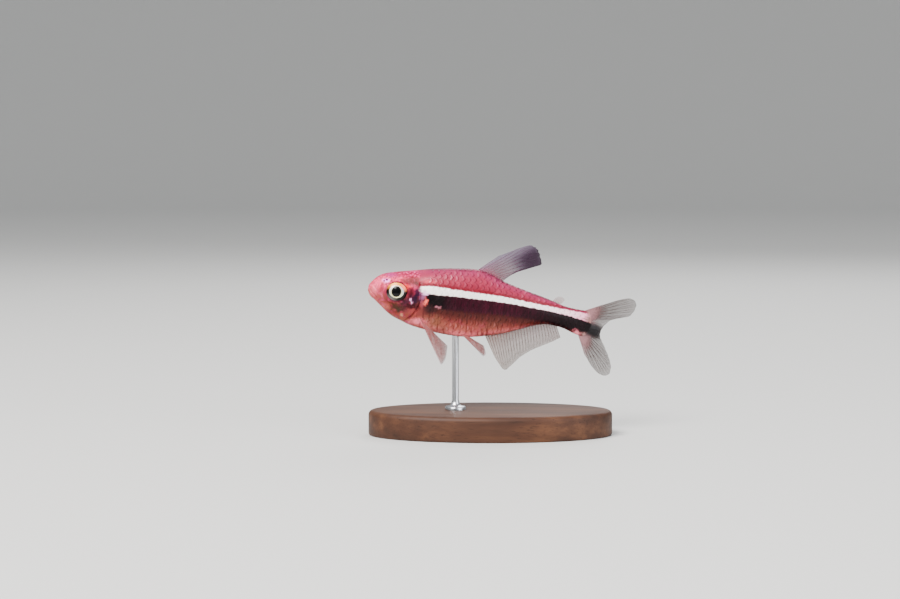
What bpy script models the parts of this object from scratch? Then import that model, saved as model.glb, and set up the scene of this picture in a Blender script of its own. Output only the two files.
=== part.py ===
"""A life-size display model of a black neon tetra, held on a rod over an oval base.

The fish is built straight, in its own frame: x runs from the snout tip to the tail, z is up
and y is the fish's right side. Every outline is given in shares of the standard length. At
the end each vertex is carried into the swimming pose over the stand, in metres, +Z up.
"""

import math

import bmesh
import bpy
from mathutils import Matrix, Vector

MM = 0.001
STANDARD_LENGTH = 32 * MM  # snout tip to the root of the tail fin
GAP = 0.3 * MM  # left between pieces that touch

# Outlines of the body, as (share of length from the snout, share of length)
BACK = (
    (0.0, 0.004), (0.012, 0.030), (0.036, 0.056), (0.064, 0.0725), (0.11, 0.086), (0.19, 0.104),
    (0.28, 0.124), (0.39, 0.141), (0.475, 0.148), (0.53, 0.138), (0.593, 0.115), (0.67, 0.0945),
    (0.76, 0.0755), (0.82, 0.0635), (0.88, 0.052), (0.935, 0.0525), (1.0, 0.060),
)
BELLY = (
    (0.0, -0.010), (0.012, -0.028), (0.032, -0.048), (0.061, -0.070), (0.09, -0.092), (0.123, -0.112),
    (0.165, -0.127), (0.208, -0.1405), (0.28, -0.152), (0.35, -0.159), (0.448, -0.159),
    (0.524, -0.147), (0.623, -0.118), (0.693, -0.090), (0.75, -0.066), (0.815, -0.047), (0.895, -0.046),
    (0.955, -0.055), (1.0, -0.058),
)
HALF_WIDTH = (
    (0.0, 0.010), (0.012, 0.021), (0.03, 0.031), (0.06, 0.042), (0.10, 0.052), (0.15, 0.059),
    (0.20, 0.063), (0.26, 0.066), (0.34, 0.067), (0.42, 0.066), (0.50, 0.062), (0.60, 0.053),
    (0.70, 0.042), (0.80, 0.032), (0.88, 0.025), (0.95, 0.019), (1.0, 0.014),
)
WIDEST_AT = ((0.0, -0.003), (0.1, 0.0), (0.3, -0.008), (0.5, -0.012), (0.8, -0.006), (1.0, -0.003))
BELLY_PINCH = 1.14  # over 1 draws the lower flanks in towards a keel
BODY_RINGS = 46
RING_CROWDING = 1.35  # over 1 sets the rings closer towards the snout
BODY_SIDES = 32

# Lines that part the body, as (share of length, share of length)
GILL_LINE = (
    (0.203, 0.2), (0.204, 0.13), (0.208, 0.085), (0.217, 0.055), (0.231, 0.026), (0.240, -0.004),
    (0.242, -0.036), (0.230, -0.074), (0.206, -0.106), (0.173, -0.132), (0.14, -0.2),
)
JAW_LINE = (
    (-0.03, 0.029), (0.0, -0.001), (0.024, -0.021), (0.048, -0.043), (0.072, -0.060), (0.097, -0.069),
    (0.111, -0.083), (0.117, -0.103), (0.118, -0.2),
)
TAIL_PART = 0.612
OUTSIDE = 0.2  # a height or depth that clears every outline

# Lips, gill covers and cheeks stand out from the sides of the head
MOUTH_CORNER = 0.048
LIP_RISE = 0.10 * MM
LIP_WIDTH = 0.30 * MM
GILL_COVER_FRONT = 0.175
GILL_COVER_RISE = 0.10 * MM
HEAD_RELIEF_END = 0.27

# Eyes, as lenses set in round sockets
EYE_AT = (0.135, -0.004)
EYE_RADIUS = 1.48 * MM
EYE_DEPTH = 0.62 * MM  # half of its thickness across the head
EYE_PROUD = 0.10 * MM
EYE_SEGMENTS = 20
EYE_RINGS = 10
EYE_POLE = 1.9  # under 2 draws a lens towards a cone, over 2 towards a drum
NOSTRIL_AT = (0.076, 0.041)
NOSTRIL_RADIUS = 0.20 * MM
NOSTRIL_DEPTH = 0.35 * MM
NOSTRIL_SIDES = 10

# Fins
ROOT_THICKNESS = 0.56 * MM
TIP_THICKNESS = 0.34 * MM
RAY_RISE = 0.10 * MM  # on each face, half as much at the tip
ROOT_SUNK = 0.9 * MM  # each ray is drawn from this far inside the body, and kept where it is out
FIN_ROWS = 5
LEAVING_STEPS = 16  # halvings to the place where a ray leaves the body
CREST = 0.24  # half of a ray's ridge, as a share of the way to the next ray

# Middle fins: the stretch of the back or belly that each grows from, and its outer edge
DORSAL_ROOT = (0.478, 0.592)
DORSAL_MARGIN = (
    (0.560, 0.224), (0.676, 0.287), (0.714, 0.287), (0.733, 0.272), (0.747, 0.242), (0.752, 0.212),
    (0.700, 0.192), (0.640, 0.162),
)
DORSAL_RAYS = 11
ADIPOSE_ROOT = (0.826, 0.862)
ADIPOSE_MARGIN = ((0.836, 0.078), (0.850, 0.087), (0.868, 0.089), (0.878, 0.080), (0.874, 0.066))
ADIPOSE_COLUMNS = 6
ANAL_ROOT = (0.551, 0.868)
ANAL_MARGIN = (
    (0.610, -0.235), (0.655, -0.279), (0.684, -0.256), (0.720, -0.212), (0.762, -0.179),
    (0.809, -0.151), (0.863, -0.119), (0.900, -0.091),
)
ANAL_RAYS = 20
TAIL_ROOT_SUNK = 0.02
TAIL_LOBES = {
    1: (
        (1.060, 0.110), (1.156, 0.170), (1.201, 0.185), (1.228, 0.172), (1.230, 0.143), (1.212, 0.106),
        (1.164, 0.080), (1.115, 0.050), (1.088, 0.012),
    ),
    -1: (
        (1.045, -0.132), (1.106, -0.176), (1.158, -0.194), (1.196, -0.182), (1.198, -0.148),
        (1.178, -0.116), (1.150, -0.086), (1.112, -0.050), (1.088, -0.012),
    ),
}
TAIL_LOBE_RAYS = 10

# Paired fins, for the right side: where the root starts and ends on the flank, then the first
# and the last ray as ways out from it, all in shares of the length
PECTORAL_ROOT = ((0.252, -0.104), (0.268, -0.122))
PECTORAL_RAY_ENDS = ((0.122, 0.075, -0.192), (0.122, 0.045, -0.088))
PECTORAL_RAYS = 8
PELVIC_ROOT = ((0.447, -0.149), (0.466, -0.150))
PELVIC_RAY_ENDS = ((0.112, 0.035, -0.082), (0.085, 0.012, -0.036))
PELVIC_RAYS = 6
PAIRED_BULGE = 0.06  # how much longer the middle rays are

# Pose of the fish, then the stand. A bend is (first share, last share, degrees).
SWING = -8.0  # degrees in plan: the snout is turned a little towards +Y
SIDE_BENDS = ((0.0, 0.35, 6.0), (0.35, 0.60, 4.0), (0.60, 0.80, 9.0), (0.80, 1.0, 12.0), (1.0, 1.35, 6.0))
TAIL_BENDS = ((0.0, 0.74, 0.0), (0.74, 1.0, 9.0), (1.0, 1.35, 2.0))  # downwards
BANK = 6.0  # the belly is tipped towards -Y
NOSE_UP = 8.4
ROD_SHARE = 0.395  # where along the fish it is held
ROD_X = -5.0 * MM
FISH_HEIGHT = 19.4 * MM  # of the fish's axis over the rod
ROD_RADIUS = 0.5 * MM
ROD_SIDES = 20
ROD_IN_BELLY = 1.4 * MM
ROD_IN_BASE = 2.0 * MM
COLLAR_RADIUS = 1.5 * MM
COLLAR_HEIGHT = 0.7 * MM
BASE_LENGTH = 35.0 * MM
BASE_WIDTH = 19.0 * MM
BASE_HEIGHT = 3.6 * MM
BASE_EDGE = 0.7 * MM
BASE_SIDES = 48

# Colour, roughness and metallic value of each piece, left and right alike
FINISHES = {
    "head": ((0.62, 0.26, 0.33, 1.0), 0.35, 0.0),
    "lower_jaw": ((0.66, 0.34, 0.34, 1.0), 0.35, 0.0),
    "torso": ((0.44, 0.18, 0.22, 1.0), 0.32, 0.0),
    "tail": ((0.30, 0.12, 0.16, 1.0), 0.32, 0.0),
    "eye": ((0.72, 0.72, 0.62, 1.0), 0.10, 0.0),
    "dorsal_fin": ((0.42, 0.34, 0.48, 1.0), 0.30, 0.0),
    "adipose_fin": ((0.45, 0.34, 0.36, 1.0), 0.30, 0.0),
    "anal_fin": ((0.50, 0.42, 0.40, 1.0), 0.30, 0.0),
    "caudal_fin_upper": ((0.42, 0.38, 0.40, 1.0), 0.30, 0.0),
    "caudal_fin_lower": ((0.50, 0.50, 0.42, 1.0), 0.30, 0.0),
    "pectoral_fin": ((0.62, 0.44, 0.44, 1.0), 0.30, 0.0),
    "pelvic_fin": ((0.58, 0.42, 0.40, 1.0), 0.30, 0.0),
    "stand_base": ((0.06, 0.032, 0.02, 1.0), 0.40, 0.0),
    "stand_rod": ((0.62, 0.62, 0.60, 1.0), 0.25, 1.0),
}


def clear_scene():
    """Removes whatever the file opened with."""
    for obj in list(bpy.data.objects):
        bpy.data.objects.remove(obj)


def through(points, x):
    """A smooth curve's height at x, through points given in order of x."""
    x = min(max(x, points[0][0]), points[-1][0])
    last = len(points) - 1
    i = max(k for k in range(last) if points[k][0] <= x)

    def slope(k):
        before, after = points[max(k - 1, 0)], points[min(k + 1, last)]
        return (after[1] - before[1]) / (after[0] - before[0])

    span = points[i + 1][0] - points[i][0]
    u = (x - points[i][0]) / span
    rise = points[i + 1][1] - points[i][1]
    bend_in = slope(i) * span - rise
    bend_out = rise - slope(i + 1) * span
    return points[i][1] + rise * u + u * (1 - u) * (bend_in * (1 - u) + bend_out * u)


def outline(points, share):
    """An outline's value at a share of the length. The root of the share is used, so that
    the snout closes as a round nose."""
    rooted = [(math.sqrt(x), value) for x, value in points]
    return through(rooted, math.sqrt(max(share, 0.0)))


def smooth_step(x):
    """0 below 0, 1 above 1 and an even S between."""
    x = min(max(x, 0.0), 1.0)
    return x * x * (3 - 2 * x)


def section(share):
    """Top, bottom, half width and height of the widest level of the body, in metres."""
    top, bottom, half_width, widest = (
        outline(line, share) * STANDARD_LENGTH for line in (BACK, BELLY, HALF_WIDTH, WIDEST_AT)
    )
    return top, bottom, half_width, widest


def distance_to(line, x, z):
    """Distance from a point to a line of (share, share) points, in metres."""
    point = Vector((x, z))
    best = math.inf
    for start, end in zip(line[:-1], line[1:]):
        a, b = Vector(start) * STANDARD_LENGTH, Vector(end) * STANDARD_LENGTH
        along = min(max((point - a).dot(b - a) / (b - a).length_squared, 0.0), 1.0)
        best = min(best, (point - a - (b - a) * along).length)
    return best


def head_relief(x, z):
    """How far the lips and the gill cover stand out at this place on the side of the head."""
    share = x / STANDARD_LENGTH
    lips = LIP_RISE * math.exp(-((distance_to(JAW_LINE[1:4], x, z) / LIP_WIDTH) ** 2))
    lips *= 1 - smooth_step((share - MOUTH_CORNER) / 0.02)
    cover = smooth_step((share - GILL_COVER_FRONT) / 0.02) * (1 - smooth_step((share - 0.23) / 0.03))
    height = z / STANDARD_LENGTH
    level = smooth_step((height + 0.13) / 0.03) * (1 - smooth_step((height - 0.03) / 0.04))
    return lips + GILL_COVER_RISE * cover * level


def body_point(share, turn):
    """A point of the body's skin: turn runs once round the section from the top, past the
    right side."""
    top, bottom, half_width, widest = section(share)
    rise, side = math.cos(turn), math.sin(turn)
    height = top - widest if rise > 0 else widest - bottom
    pinch = 1.0 if rise > 0 else BELLY_PINCH
    x = share * STANDARD_LENGTH
    z = widest + rise * height
    relief = head_relief(x, z) if share < HEAD_RELIEF_END else 0.0
    y = half_width * math.copysign(abs(side) ** pinch, side)
    return Vector((x, y + math.copysign(relief, y) * abs(side), z))


def side_at(share, height, grown=0.0):
    """How far out the flank lies at a height, in metres, or 0 above and below the body. grown
    pushes the skin outwards."""
    top, bottom, half_width, widest = section(share)
    reach = (top - widest if height > widest else widest - bottom) + grown
    rise = min(abs(height - widest) / reach, 1.0)
    pinch = 1.0 if height > widest else BELLY_PINCH
    return (half_width + grown) * math.sqrt(1 - rise * rise) ** pinch


def new_object(name, bm):
    """Closes bm into an object with its faces pointing out."""
    bmesh.ops.recalc_face_normals(bm, faces=bm.faces)
    mesh = bpy.data.meshes.new(name)
    bm.to_mesh(mesh)
    bm.free()
    obj = bpy.data.objects.new(name, mesh)
    bpy.context.scene.collection.objects.link(obj)
    return obj


def loft(bm, rings):
    """Skins rings of points that have the same count, and closes both ends."""
    rows = [[bm.verts.new(point) for point in ring] for ring in rings]
    for row, following in zip(rows[:-1], rows[1:]):
        for i in range(len(row)):
            k = (i + 1) % len(row)
            bm.faces.new((row[i], row[k], following[k], following[i]))
    bm.faces.new(list(reversed(rows[0])))
    bm.faces.new(rows[-1])


def body_solid(name):
    """The whole body as one closed shape."""
    bm = bmesh.new()
    rings = []
    for i in range(BODY_RINGS + 1):
        share = (i / BODY_RINGS) ** RING_CROWDING
        rings.append([body_point(share, 2 * math.pi * k / BODY_SIDES) for k in range(BODY_SIDES)])
    loft(bm, rings)
    return new_object(name, bm)


def prism(name, corners, half_depth=8 * MM):
    """A block with the outline of the corners in the x-z plane, right across the fish."""
    bm = bmesh.new()
    face = bm.faces.new([bm.verts.new((x, -half_depth, z)) for x, z in corners])
    made = bmesh.ops.extrude_face_region(bm, geom=[face])
    moved = [v for v in made["geom"] if isinstance(v, bmesh.types.BMVert)]
    bmesh.ops.translate(bm, verts=moved, vec=(0, 2 * half_depth, 0))
    return new_object(name, bm)


def shifted(line, by):
    """A line of shares, in metres, moved sideways: to its left as it is read where by is
    positive."""
    points = [Vector(p) * STANDARD_LENGTH for p in line]
    moved = []
    for i, point in enumerate(points):
        along = (points[min(i + 1, len(points) - 1)] - points[max(i - 1, 0)]).normalized()
        moved.append(point + Vector((-along.y, along.x)) * by)
    return moved


def boolean(obj, other, operation):
    """Cuts or joins other into obj, and removes other."""
    modifier = obj.modifiers.new("shape", "BOOLEAN")
    modifier.operation = operation
    modifier.solver = "EXACT"
    modifier.object = other
    graph = bpy.context.evaluated_depsgraph_get()
    mesh = bpy.data.meshes.new_from_object(obj.evaluated_get(graph))
    obj.modifiers.clear()
    old = obj.data
    obj.data = mesh
    bpy.data.meshes.remove(old)
    bpy.data.objects.remove(other)
    return obj


def keep_largest(obj):
    """Drops every loose scrap but the largest closed surface."""
    bm = bmesh.new()
    bm.from_mesh(obj.data)
    unseen = set(bm.verts)
    groups = []
    while unseen:
        group, edge_of = set(), [unseen.pop()]
        while edge_of:
            vert = edge_of.pop()
            group.add(vert)
            for edge in vert.link_edges:
                other = edge.other_vert(vert)
                if other in unseen:
                    unseen.remove(other)
                    edge_of.append(other)
        groups.append(group)
    groups.sort(key=len)
    for group in groups[:-1]:
        bmesh.ops.delete(bm, geom=list(group), context="VERTS")
    bm.to_mesh(obj.data)
    bm.free()
    return obj


def along_bends(x, bends, heading):
    """The place and the heading in degrees at x along a line that turns at a steady rate
    through each bend."""
    place = Vector((0.0, 0.0))
    for first, last, turn in bends:
        start, end = first * STANDARD_LENGTH, last * STANDARD_LENGTH
        if first > 0 and x <= start:
            break
        run = x - start if last == bends[-1][1] else min(x, end) - start
        half_turn = math.radians(turn) * run / (end - start) / 2
        chord = run * (math.sin(half_turn) / half_turn if half_turn else 1.0)
        ahead = math.radians(heading) + half_turn
        place += chord * Vector((math.cos(ahead), math.sin(ahead)))
        heading += 2 * math.degrees(half_turn)
    return place, heading


def bent(point):
    """A point of the straight fish after the tail is dipped and the whole is swung aside."""
    (x, down), dip = along_bends(point.x, TAIL_BENDS, 0.0)
    x += point.z * math.sin(math.radians(dip))
    z = point.z * math.cos(math.radians(dip)) - down
    place, heading = along_bends(x, SIDE_BENDS, SWING)
    heading = math.radians(heading)
    return Vector((place.x - point.y * math.sin(heading), place.y + point.y * math.cos(heading), z))


def posed(point):
    """A point of the straight fish carried to its place over the stand."""
    arm = bent(point) - bent(Vector((ROD_SHARE * STANDARD_LENGTH, 0, 0)))
    arm.rotate(Matrix.Rotation(math.radians(-BANK), 3, "X"))
    arm.rotate(Matrix.Rotation(math.radians(NOSE_UP), 3, "Y"))
    return Vector((ROD_X, 0, FISH_HEIGHT)) + arm


def pose(obj):
    """Splits an object of the straight fish into triangles and carries it to its place."""
    bm = bmesh.new()
    bm.from_mesh(obj.data)
    bmesh.ops.triangulate(bm, faces=bm.faces)
    for vert in bm.verts:
        vert.co = posed(vert.co)
    bmesh.ops.recalc_face_normals(bm, faces=bm.faces)
    bm.to_mesh(obj.data)
    bm.free()
    return obj


def dress(obj, name):
    """Names an object and its mesh, gives it its own material and shades it smooth."""
    obj.name = obj.data.name = name
    colour, roughness, metallic = FINISHES[name.removeprefix("left_").removeprefix("right_")]
    material = bpy.data.materials.new(name)
    material.use_nodes = True
    shader = material.node_tree.nodes["Principled BSDF"]
    shader.inputs["Base Color"].default_value = colour
    shader.inputs["Roughness"].default_value = roughness
    shader.inputs["Metallic"].default_value = metallic
    obj.data.materials.clear()
    obj.data.materials.append(material)
    obj.data.shade_smooth()
    obj.data.set_sharp_from_angle(angle=math.radians(40))
    return obj


def region(name, corners):
    """The part of the body inside a prism, as an object."""
    return boolean(body_solid(name), prism(name + "_block", corners), "INTERSECT")


def lens(name, side, radius, depth):
    """An eyeball's flattened ball on that side of the head, in the straight fish."""
    centre = Vector((EYE_AT[0] * STANDARD_LENGTH, 0, EYE_AT[1] * STANDARD_LENGTH))
    flank = side_at(EYE_AT[0], centre.z)
    bm = bmesh.new()
    rings = []
    for i in range(1, EYE_RINGS):
        rise = math.cos(math.pi * i / EYE_RINGS)
        wide = radius * (1 - abs(rise) ** EYE_POLE) ** (1 / EYE_POLE)
        out = flank + EYE_PROUD - EYE_DEPTH + depth * rise
        rings.append(
            [
                centre + Vector((wide * math.cos(a), side * out, wide * math.sin(a)))
                for a in (2 * math.pi * k / EYE_SEGMENTS for k in range(EYE_SEGMENTS))
            ]
        )
    loft(bm, rings)
    return new_object(name, bm)


def nostril(name, side):
    """A short round plug that drills one nostril."""
    share, height = NOSTRIL_AT
    z = height * STANDARD_LENGTH
    flank = side_at(share, z)
    bm = bmesh.new()
    rings = []
    for out in (flank - NOSTRIL_DEPTH, flank + NOSTRIL_DEPTH):
        rings.append(
            [
                Vector((
                    share * STANDARD_LENGTH + NOSTRIL_RADIUS * math.cos(a),
                    side * out,
                    z + NOSTRIL_RADIUS * math.sin(a),
                ))
                for a in (2 * math.pi * k / NOSTRIL_SIDES for k in range(NOSTRIL_SIDES))
            ]
        )
    loft(bm, rings)
    return new_object(name, bm)


def make_head():
    """Skull, cheeks and gill covers, down to the upper lip, with sockets and nostrils."""
    jaw = list(reversed(shifted(JAW_LINE, GAP / 2)))
    gill = shifted(GILL_LINE, -GAP / 2)
    front = Vector((JAW_LINE[0][0], OUTSIDE)) * STANDARD_LENGTH
    head = region("head", [front, *gill, *jaw])
    for side in (-1, 1):
        boolean(head, lens("socket", side, EYE_RADIUS + GAP, EYE_DEPTH + GAP), "DIFFERENCE")
        boolean(head, nostril("nostril", side), "DIFFERENCE")
    return dress(pose(keep_largest(head)), "head")


def make_lower_jaw():
    """The lower jaw, parted from the head by the line of the mouth."""
    jaw = shifted(JAW_LINE, -GAP / 2)
    front = Vector((JAW_LINE[0][0], -OUTSIDE)) * STANDARD_LENGTH
    return dress(pose(keep_largest(region("lower_jaw", [*jaw, front]))), "lower_jaw")


def make_torso():
    """The trunk from the gill opening to the vent, with the rod's socket in the belly."""
    gill = shifted(GILL_LINE, GAP / 2)
    back = TAIL_PART * STANDARD_LENGTH - GAP / 2
    reach = OUTSIDE * STANDARD_LENGTH
    torso = region("torso", [*gill, Vector((back, -reach)), Vector((back, reach))])
    pose(keep_largest(torso))
    hole = ROD_RADIUS + GAP
    top = belly_over_rod() + ROD_IN_BELLY + GAP
    plug = turned("plug", ((hole, BASE_HEIGHT), (hole, top)))
    return dress(keep_largest(boolean(torso, plug, "DIFFERENCE")), "torso")


def make_tail():
    """The tail stem from the vent to the root of the tail fin."""
    front = TAIL_PART * STANDARD_LENGTH + GAP / 2
    back = 1.1 * STANDARD_LENGTH
    reach = OUTSIDE * STANDARD_LENGTH
    corners = [Vector(c) for c in ((front, -reach), (back, -reach), (back, reach), (front, reach))]
    return dress(pose(keep_largest(region("tail", corners))), "tail")


def make_eye(name, side):
    """One eyeball, which fills its socket but for the gap."""
    return dress(pose(lens(name, side, EYE_RADIUS, EYE_DEPTH)), name)


def fin_columns(count):
    """Where the columns of a fin's surface stand: on each ray and at the two feet of its
    ridge. Each is (place between the rays, whether it is a ridge)."""
    columns = []
    for ray in range(count):
        if ray > 0:
            columns.append((ray - CREST, False))
        columns.append((float(ray), True))
        if ray < count - 1:
            columns.append((ray + CREST, False))
    return columns


def near_body(point):
    """Whether a point of the straight fish is in the body, or closer to it than the gap."""
    share = point.x / STANDARD_LENGTH
    if share > 1 + GAP / STANDARD_LENGTH:
        return False
    return abs(point.y) < side_at(min(share, 1.0), point.z, GAP)


def blade_point(root, tip, across, v, rise=0.0):
    """A point on one face of a fin. v runs from 0 at the root to 1 at the tip, and across is
    that face's way out."""
    thick = ROOT_THICKNESS + (TIP_THICKNESS - ROOT_THICKNESS) * v
    return root.lerp(tip, v) + across * (thick / 2 + rise * (1 - v / 2))


def leaving_body(root, tip, across):
    """The v at which a fin's face comes clear of the body."""
    inside, outside = 0.0, 1.0
    for _ in range(LEAVING_STEPS):
        middle = (inside + outside) / 2
        if near_body(blade_point(root, tip, across, middle)):
            inside = middle
        else:
            outside = middle
    return outside


def fin_solid(name, rays, normal, ray_rise=RAY_RISE):
    """A fin as one closed blade, from the skin out. rays lists (root, tip) points in the
    straight fish, and normal is the way across the blade."""
    normal = Vector(normal).normalized()
    columns = fin_columns(len(rays))
    bm = bmesh.new()
    faces = {1: [], -1: []}
    for place, ridge in columns:
        i = min(int(place), len(rays) - 2)
        root = rays[i][0].lerp(rays[i + 1][0], place - i)
        tip = rays[i][1].lerp(rays[i + 1][1], place - i)
        rise = ray_rise if ridge else 0.0
        for side, rows in faces.items():
            across = normal * side
            start = leaving_body(root, tip, across)
            column = [bm.verts.new(blade_point(root, tip, across, start))]
            for k in range(1, FIN_ROWS + 1):
                v = start + (1 - start) * k / FIN_ROWS
                column.append(bm.verts.new(blade_point(root, tip, across, v, rise)))
            rows.append(column)

    def split(a, b, c, d):
        bm.faces.new((a, b, c))
        bm.faces.new((a, c, d))

    right, left = faces[1], faces[-1]
    last = len(columns) - 1
    for i in range(last):
        for k in range(FIN_ROWS):
            split(right[i][k], right[i + 1][k], right[i + 1][k + 1], right[i][k + 1])
            split(left[i][k], left[i + 1][k], left[i + 1][k + 1], left[i][k + 1])
        split(right[i][0], right[i + 1][0], left[i + 1][0], left[i][0])
        split(right[i][FIN_ROWS], right[i + 1][FIN_ROWS], left[i + 1][FIN_ROWS], left[i][FIN_ROWS])
    for k in range(FIN_ROWS):
        for i in (0, last):
            split(right[i][k], right[i][k + 1], left[i][k + 1], left[i][k])
    return dress(pose(new_object(name, bm)), name)


def at(share, height):
    """A point on the fish's middle plane, from shares of the length."""
    return Vector((share * STANDARD_LENGTH, 0, height * STANDARD_LENGTH))


def margin_point(margin, place):
    """A point of a fin's outer edge, through its named points, place running from 0 to 1."""
    steps = [(i / (len(margin) - 1), p) for i, p in enumerate(margin)]
    return at(
        through([(u, p[0]) for u, p in steps], place), through([(u, p[1]) for u, p in steps], place)
    )


def ray_fan(root_from, root_to, line, margin, count):
    """Rays from a root along one of the body's outlines out to a margin."""
    rays = []
    for i in range(count):
        place = i / (count - 1)
        share = root_from + (root_to - root_from) * place
        root = at(share, outline(line, share))
        tip = margin_point(margin, place)
        inward = (root - tip).normalized() * ROOT_SUNK
        rays.append((root + inward, tip))
    return rays


def make_dorsal_fin():
    """The fin on the back, half folded rearwards."""
    rays = ray_fan(*DORSAL_ROOT, BACK, DORSAL_MARGIN, DORSAL_RAYS)
    return fin_solid("dorsal_fin", rays, (0, 1, 0))


def make_anal_fin():
    """The long fin under the tail stem."""
    rays = ray_fan(*ANAL_ROOT, BELLY, ANAL_MARGIN, ANAL_RAYS)
    return fin_solid("anal_fin", rays, (0, 1, 0))


def make_adipose_fin():
    """The small rayless fin between dorsal fin and tail."""
    rays = ray_fan(*ADIPOSE_ROOT, BACK, ADIPOSE_MARGIN, ADIPOSE_COLUMNS)
    return fin_solid("adipose_fin", rays, (0, 1, 0), ray_rise=0.0)


def make_tail_lobe(name, side):
    """One lobe of the forked tail fin, the upper where side is 1. The two part at the fork."""
    edge = outline(BACK if side > 0 else BELLY, 1.0)
    middle = (outline(BACK, 1.0) + outline(BELLY, 1.0)) / 2 + side * GAP / 2 / STANDARD_LENGTH
    rays = []
    for i in range(TAIL_LOBE_RAYS):
        place = i / (TAIL_LOBE_RAYS - 1)
        height = 0.97 * edge + (middle - 0.97 * edge) * place
        rays.append((at(1.0 - TAIL_ROOT_SUNK, height), margin_point(TAIL_LOBES[side], place)))
    return fin_solid(name, rays, (0, 1, 0))


def paired_fin(name, side, root, ends, count):
    """A fin on one flank, the left where side is -1."""
    rays = []
    for i in range(count):
        place = i / (count - 1)
        share = root[0][0] + (root[1][0] - root[0][0]) * place
        height = (root[0][1] + (root[1][1] - root[0][1]) * place) * STANDARD_LENGTH
        foot = Vector((share * STANDARD_LENGTH, side * side_at(share, height), height))
        ray = Vector(ends[0]).lerp(Vector(ends[1]), place) * STANDARD_LENGTH
        ray *= 1 + PAIRED_BULGE * math.sin(math.pi * place)
        ray.y *= side
        rays.append((foot - ray.normalized() * ROOT_SUNK, foot + ray))
    first, last = rays[0][1] - rays[0][0], rays[-1][1] - rays[-1][0]
    return fin_solid(name, rays, first.cross(last))


def belly_over_rod():
    """The height of the belly's lowest line over the rod."""
    low = ROD_SHARE * STANDARD_LENGTH
    share = ROD_SHARE
    for _ in range(8):
        point = posed(at(share, outline(BELLY, share)))
        share += (ROD_X - point.x) / STANDARD_LENGTH
        low = point.z
    return low


def turned(name, profile):
    """A round upright shape at the rod, from (radius, height) pairs going up."""
    bm = bmesh.new()
    rings = []
    for radius, height in profile:
        rings.append(
            [
                Vector((ROD_X + radius * math.cos(a), radius * math.sin(a), height))
                for a in (2 * math.pi * k / ROD_SIDES for k in range(ROD_SIDES))
            ]
        )
    loft(bm, rings)
    return new_object(name, bm)


def make_rod():
    """The rod, with a collar that lies over its hole in the base."""
    collar = BASE_HEIGHT + GAP
    profile = (
        (ROD_RADIUS, BASE_HEIGHT - ROD_IN_BASE),
        (ROD_RADIUS, collar),
        (COLLAR_RADIUS, collar + 0.1 * MM),
        (COLLAR_RADIUS, collar + COLLAR_HEIGHT * 0.6),
        (ROD_RADIUS * 1.3, collar + COLLAR_HEIGHT),
        (ROD_RADIUS, collar + COLLAR_HEIGHT * 1.6),
        (ROD_RADIUS, belly_over_rod() + ROD_IN_BELLY),
    )
    return dress(turned("stand_rod", profile), "stand_rod")


def make_base():
    """The oval base, with a rounded upper edge and a blind hole for the rod."""
    bm = bmesh.new()
    rings = []
    for inset, height in (
        (0.3 * MM, 0.0),
        (0.0, 0.3 * MM),
        (0.0, BASE_HEIGHT - BASE_EDGE),
        (BASE_EDGE * 0.3, BASE_HEIGHT - BASE_EDGE * 0.3),
        (BASE_EDGE, BASE_HEIGHT),
    ):
        rings.append(
            [
                Vector((
                    (BASE_LENGTH / 2 - inset) * math.cos(a),
                    (BASE_WIDTH / 2 - inset) * math.sin(a),
                    height,
                ))
                for a in (2 * math.pi * k / BASE_SIDES for k in range(BASE_SIDES))
            ]
        )
    loft(bm, rings)
    base = new_object("stand_base", bm)
    hole = ROD_RADIUS + GAP
    bottom = BASE_HEIGHT - ROD_IN_BASE - GAP
    plug = turned("hole", ((hole, bottom), (hole, BASE_HEIGHT + MM)))
    return dress(boolean(base, plug, "DIFFERENCE"), "stand_base")


def main():
    clear_scene()
    make_head()
    make_lower_jaw()
    make_torso()
    make_tail()
    make_dorsal_fin()
    make_adipose_fin()
    make_anal_fin()
    make_tail_lobe("caudal_fin_upper", 1)
    make_tail_lobe("caudal_fin_lower", -1)
    for label, side in (("left", -1), ("right", 1)):
        make_eye(label + "_eye", side)
        paired_fin(label + "_pectoral_fin", side, PECTORAL_ROOT, PECTORAL_RAY_ENDS, PECTORAL_RAYS)
        paired_fin(label + "_pelvic_fin", side, PELVIC_ROOT, PELVIC_RAY_ENDS, PELVIC_RAYS)
    make_rod()
    make_base()


main()
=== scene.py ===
# %% [markdown]
# # A black neon tetra, life size
#
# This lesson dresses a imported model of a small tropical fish. The solids under it give every size
# and place. Here the fish gets its skin, its scales, its clear fins and its bright eyes, and the
# stand gets its wood and steel. The real animal is no longer than a thumb joint, so most of what
# follows is worked in tenths of a millimetre.

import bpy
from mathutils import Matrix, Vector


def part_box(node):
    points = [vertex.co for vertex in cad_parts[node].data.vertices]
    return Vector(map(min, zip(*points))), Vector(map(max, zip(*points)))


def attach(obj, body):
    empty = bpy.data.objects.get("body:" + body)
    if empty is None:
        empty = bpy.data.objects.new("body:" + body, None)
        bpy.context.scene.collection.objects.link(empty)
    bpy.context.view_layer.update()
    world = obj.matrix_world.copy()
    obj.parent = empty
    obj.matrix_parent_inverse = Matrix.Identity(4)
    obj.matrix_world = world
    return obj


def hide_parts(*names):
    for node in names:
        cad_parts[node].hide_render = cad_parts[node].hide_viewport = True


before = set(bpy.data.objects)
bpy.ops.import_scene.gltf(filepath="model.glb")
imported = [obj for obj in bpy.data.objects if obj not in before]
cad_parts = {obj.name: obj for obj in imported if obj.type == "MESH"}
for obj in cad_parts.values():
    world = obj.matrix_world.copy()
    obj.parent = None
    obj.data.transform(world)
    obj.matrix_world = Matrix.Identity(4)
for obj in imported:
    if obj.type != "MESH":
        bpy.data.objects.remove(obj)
print("the packed model is loaded")

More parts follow.
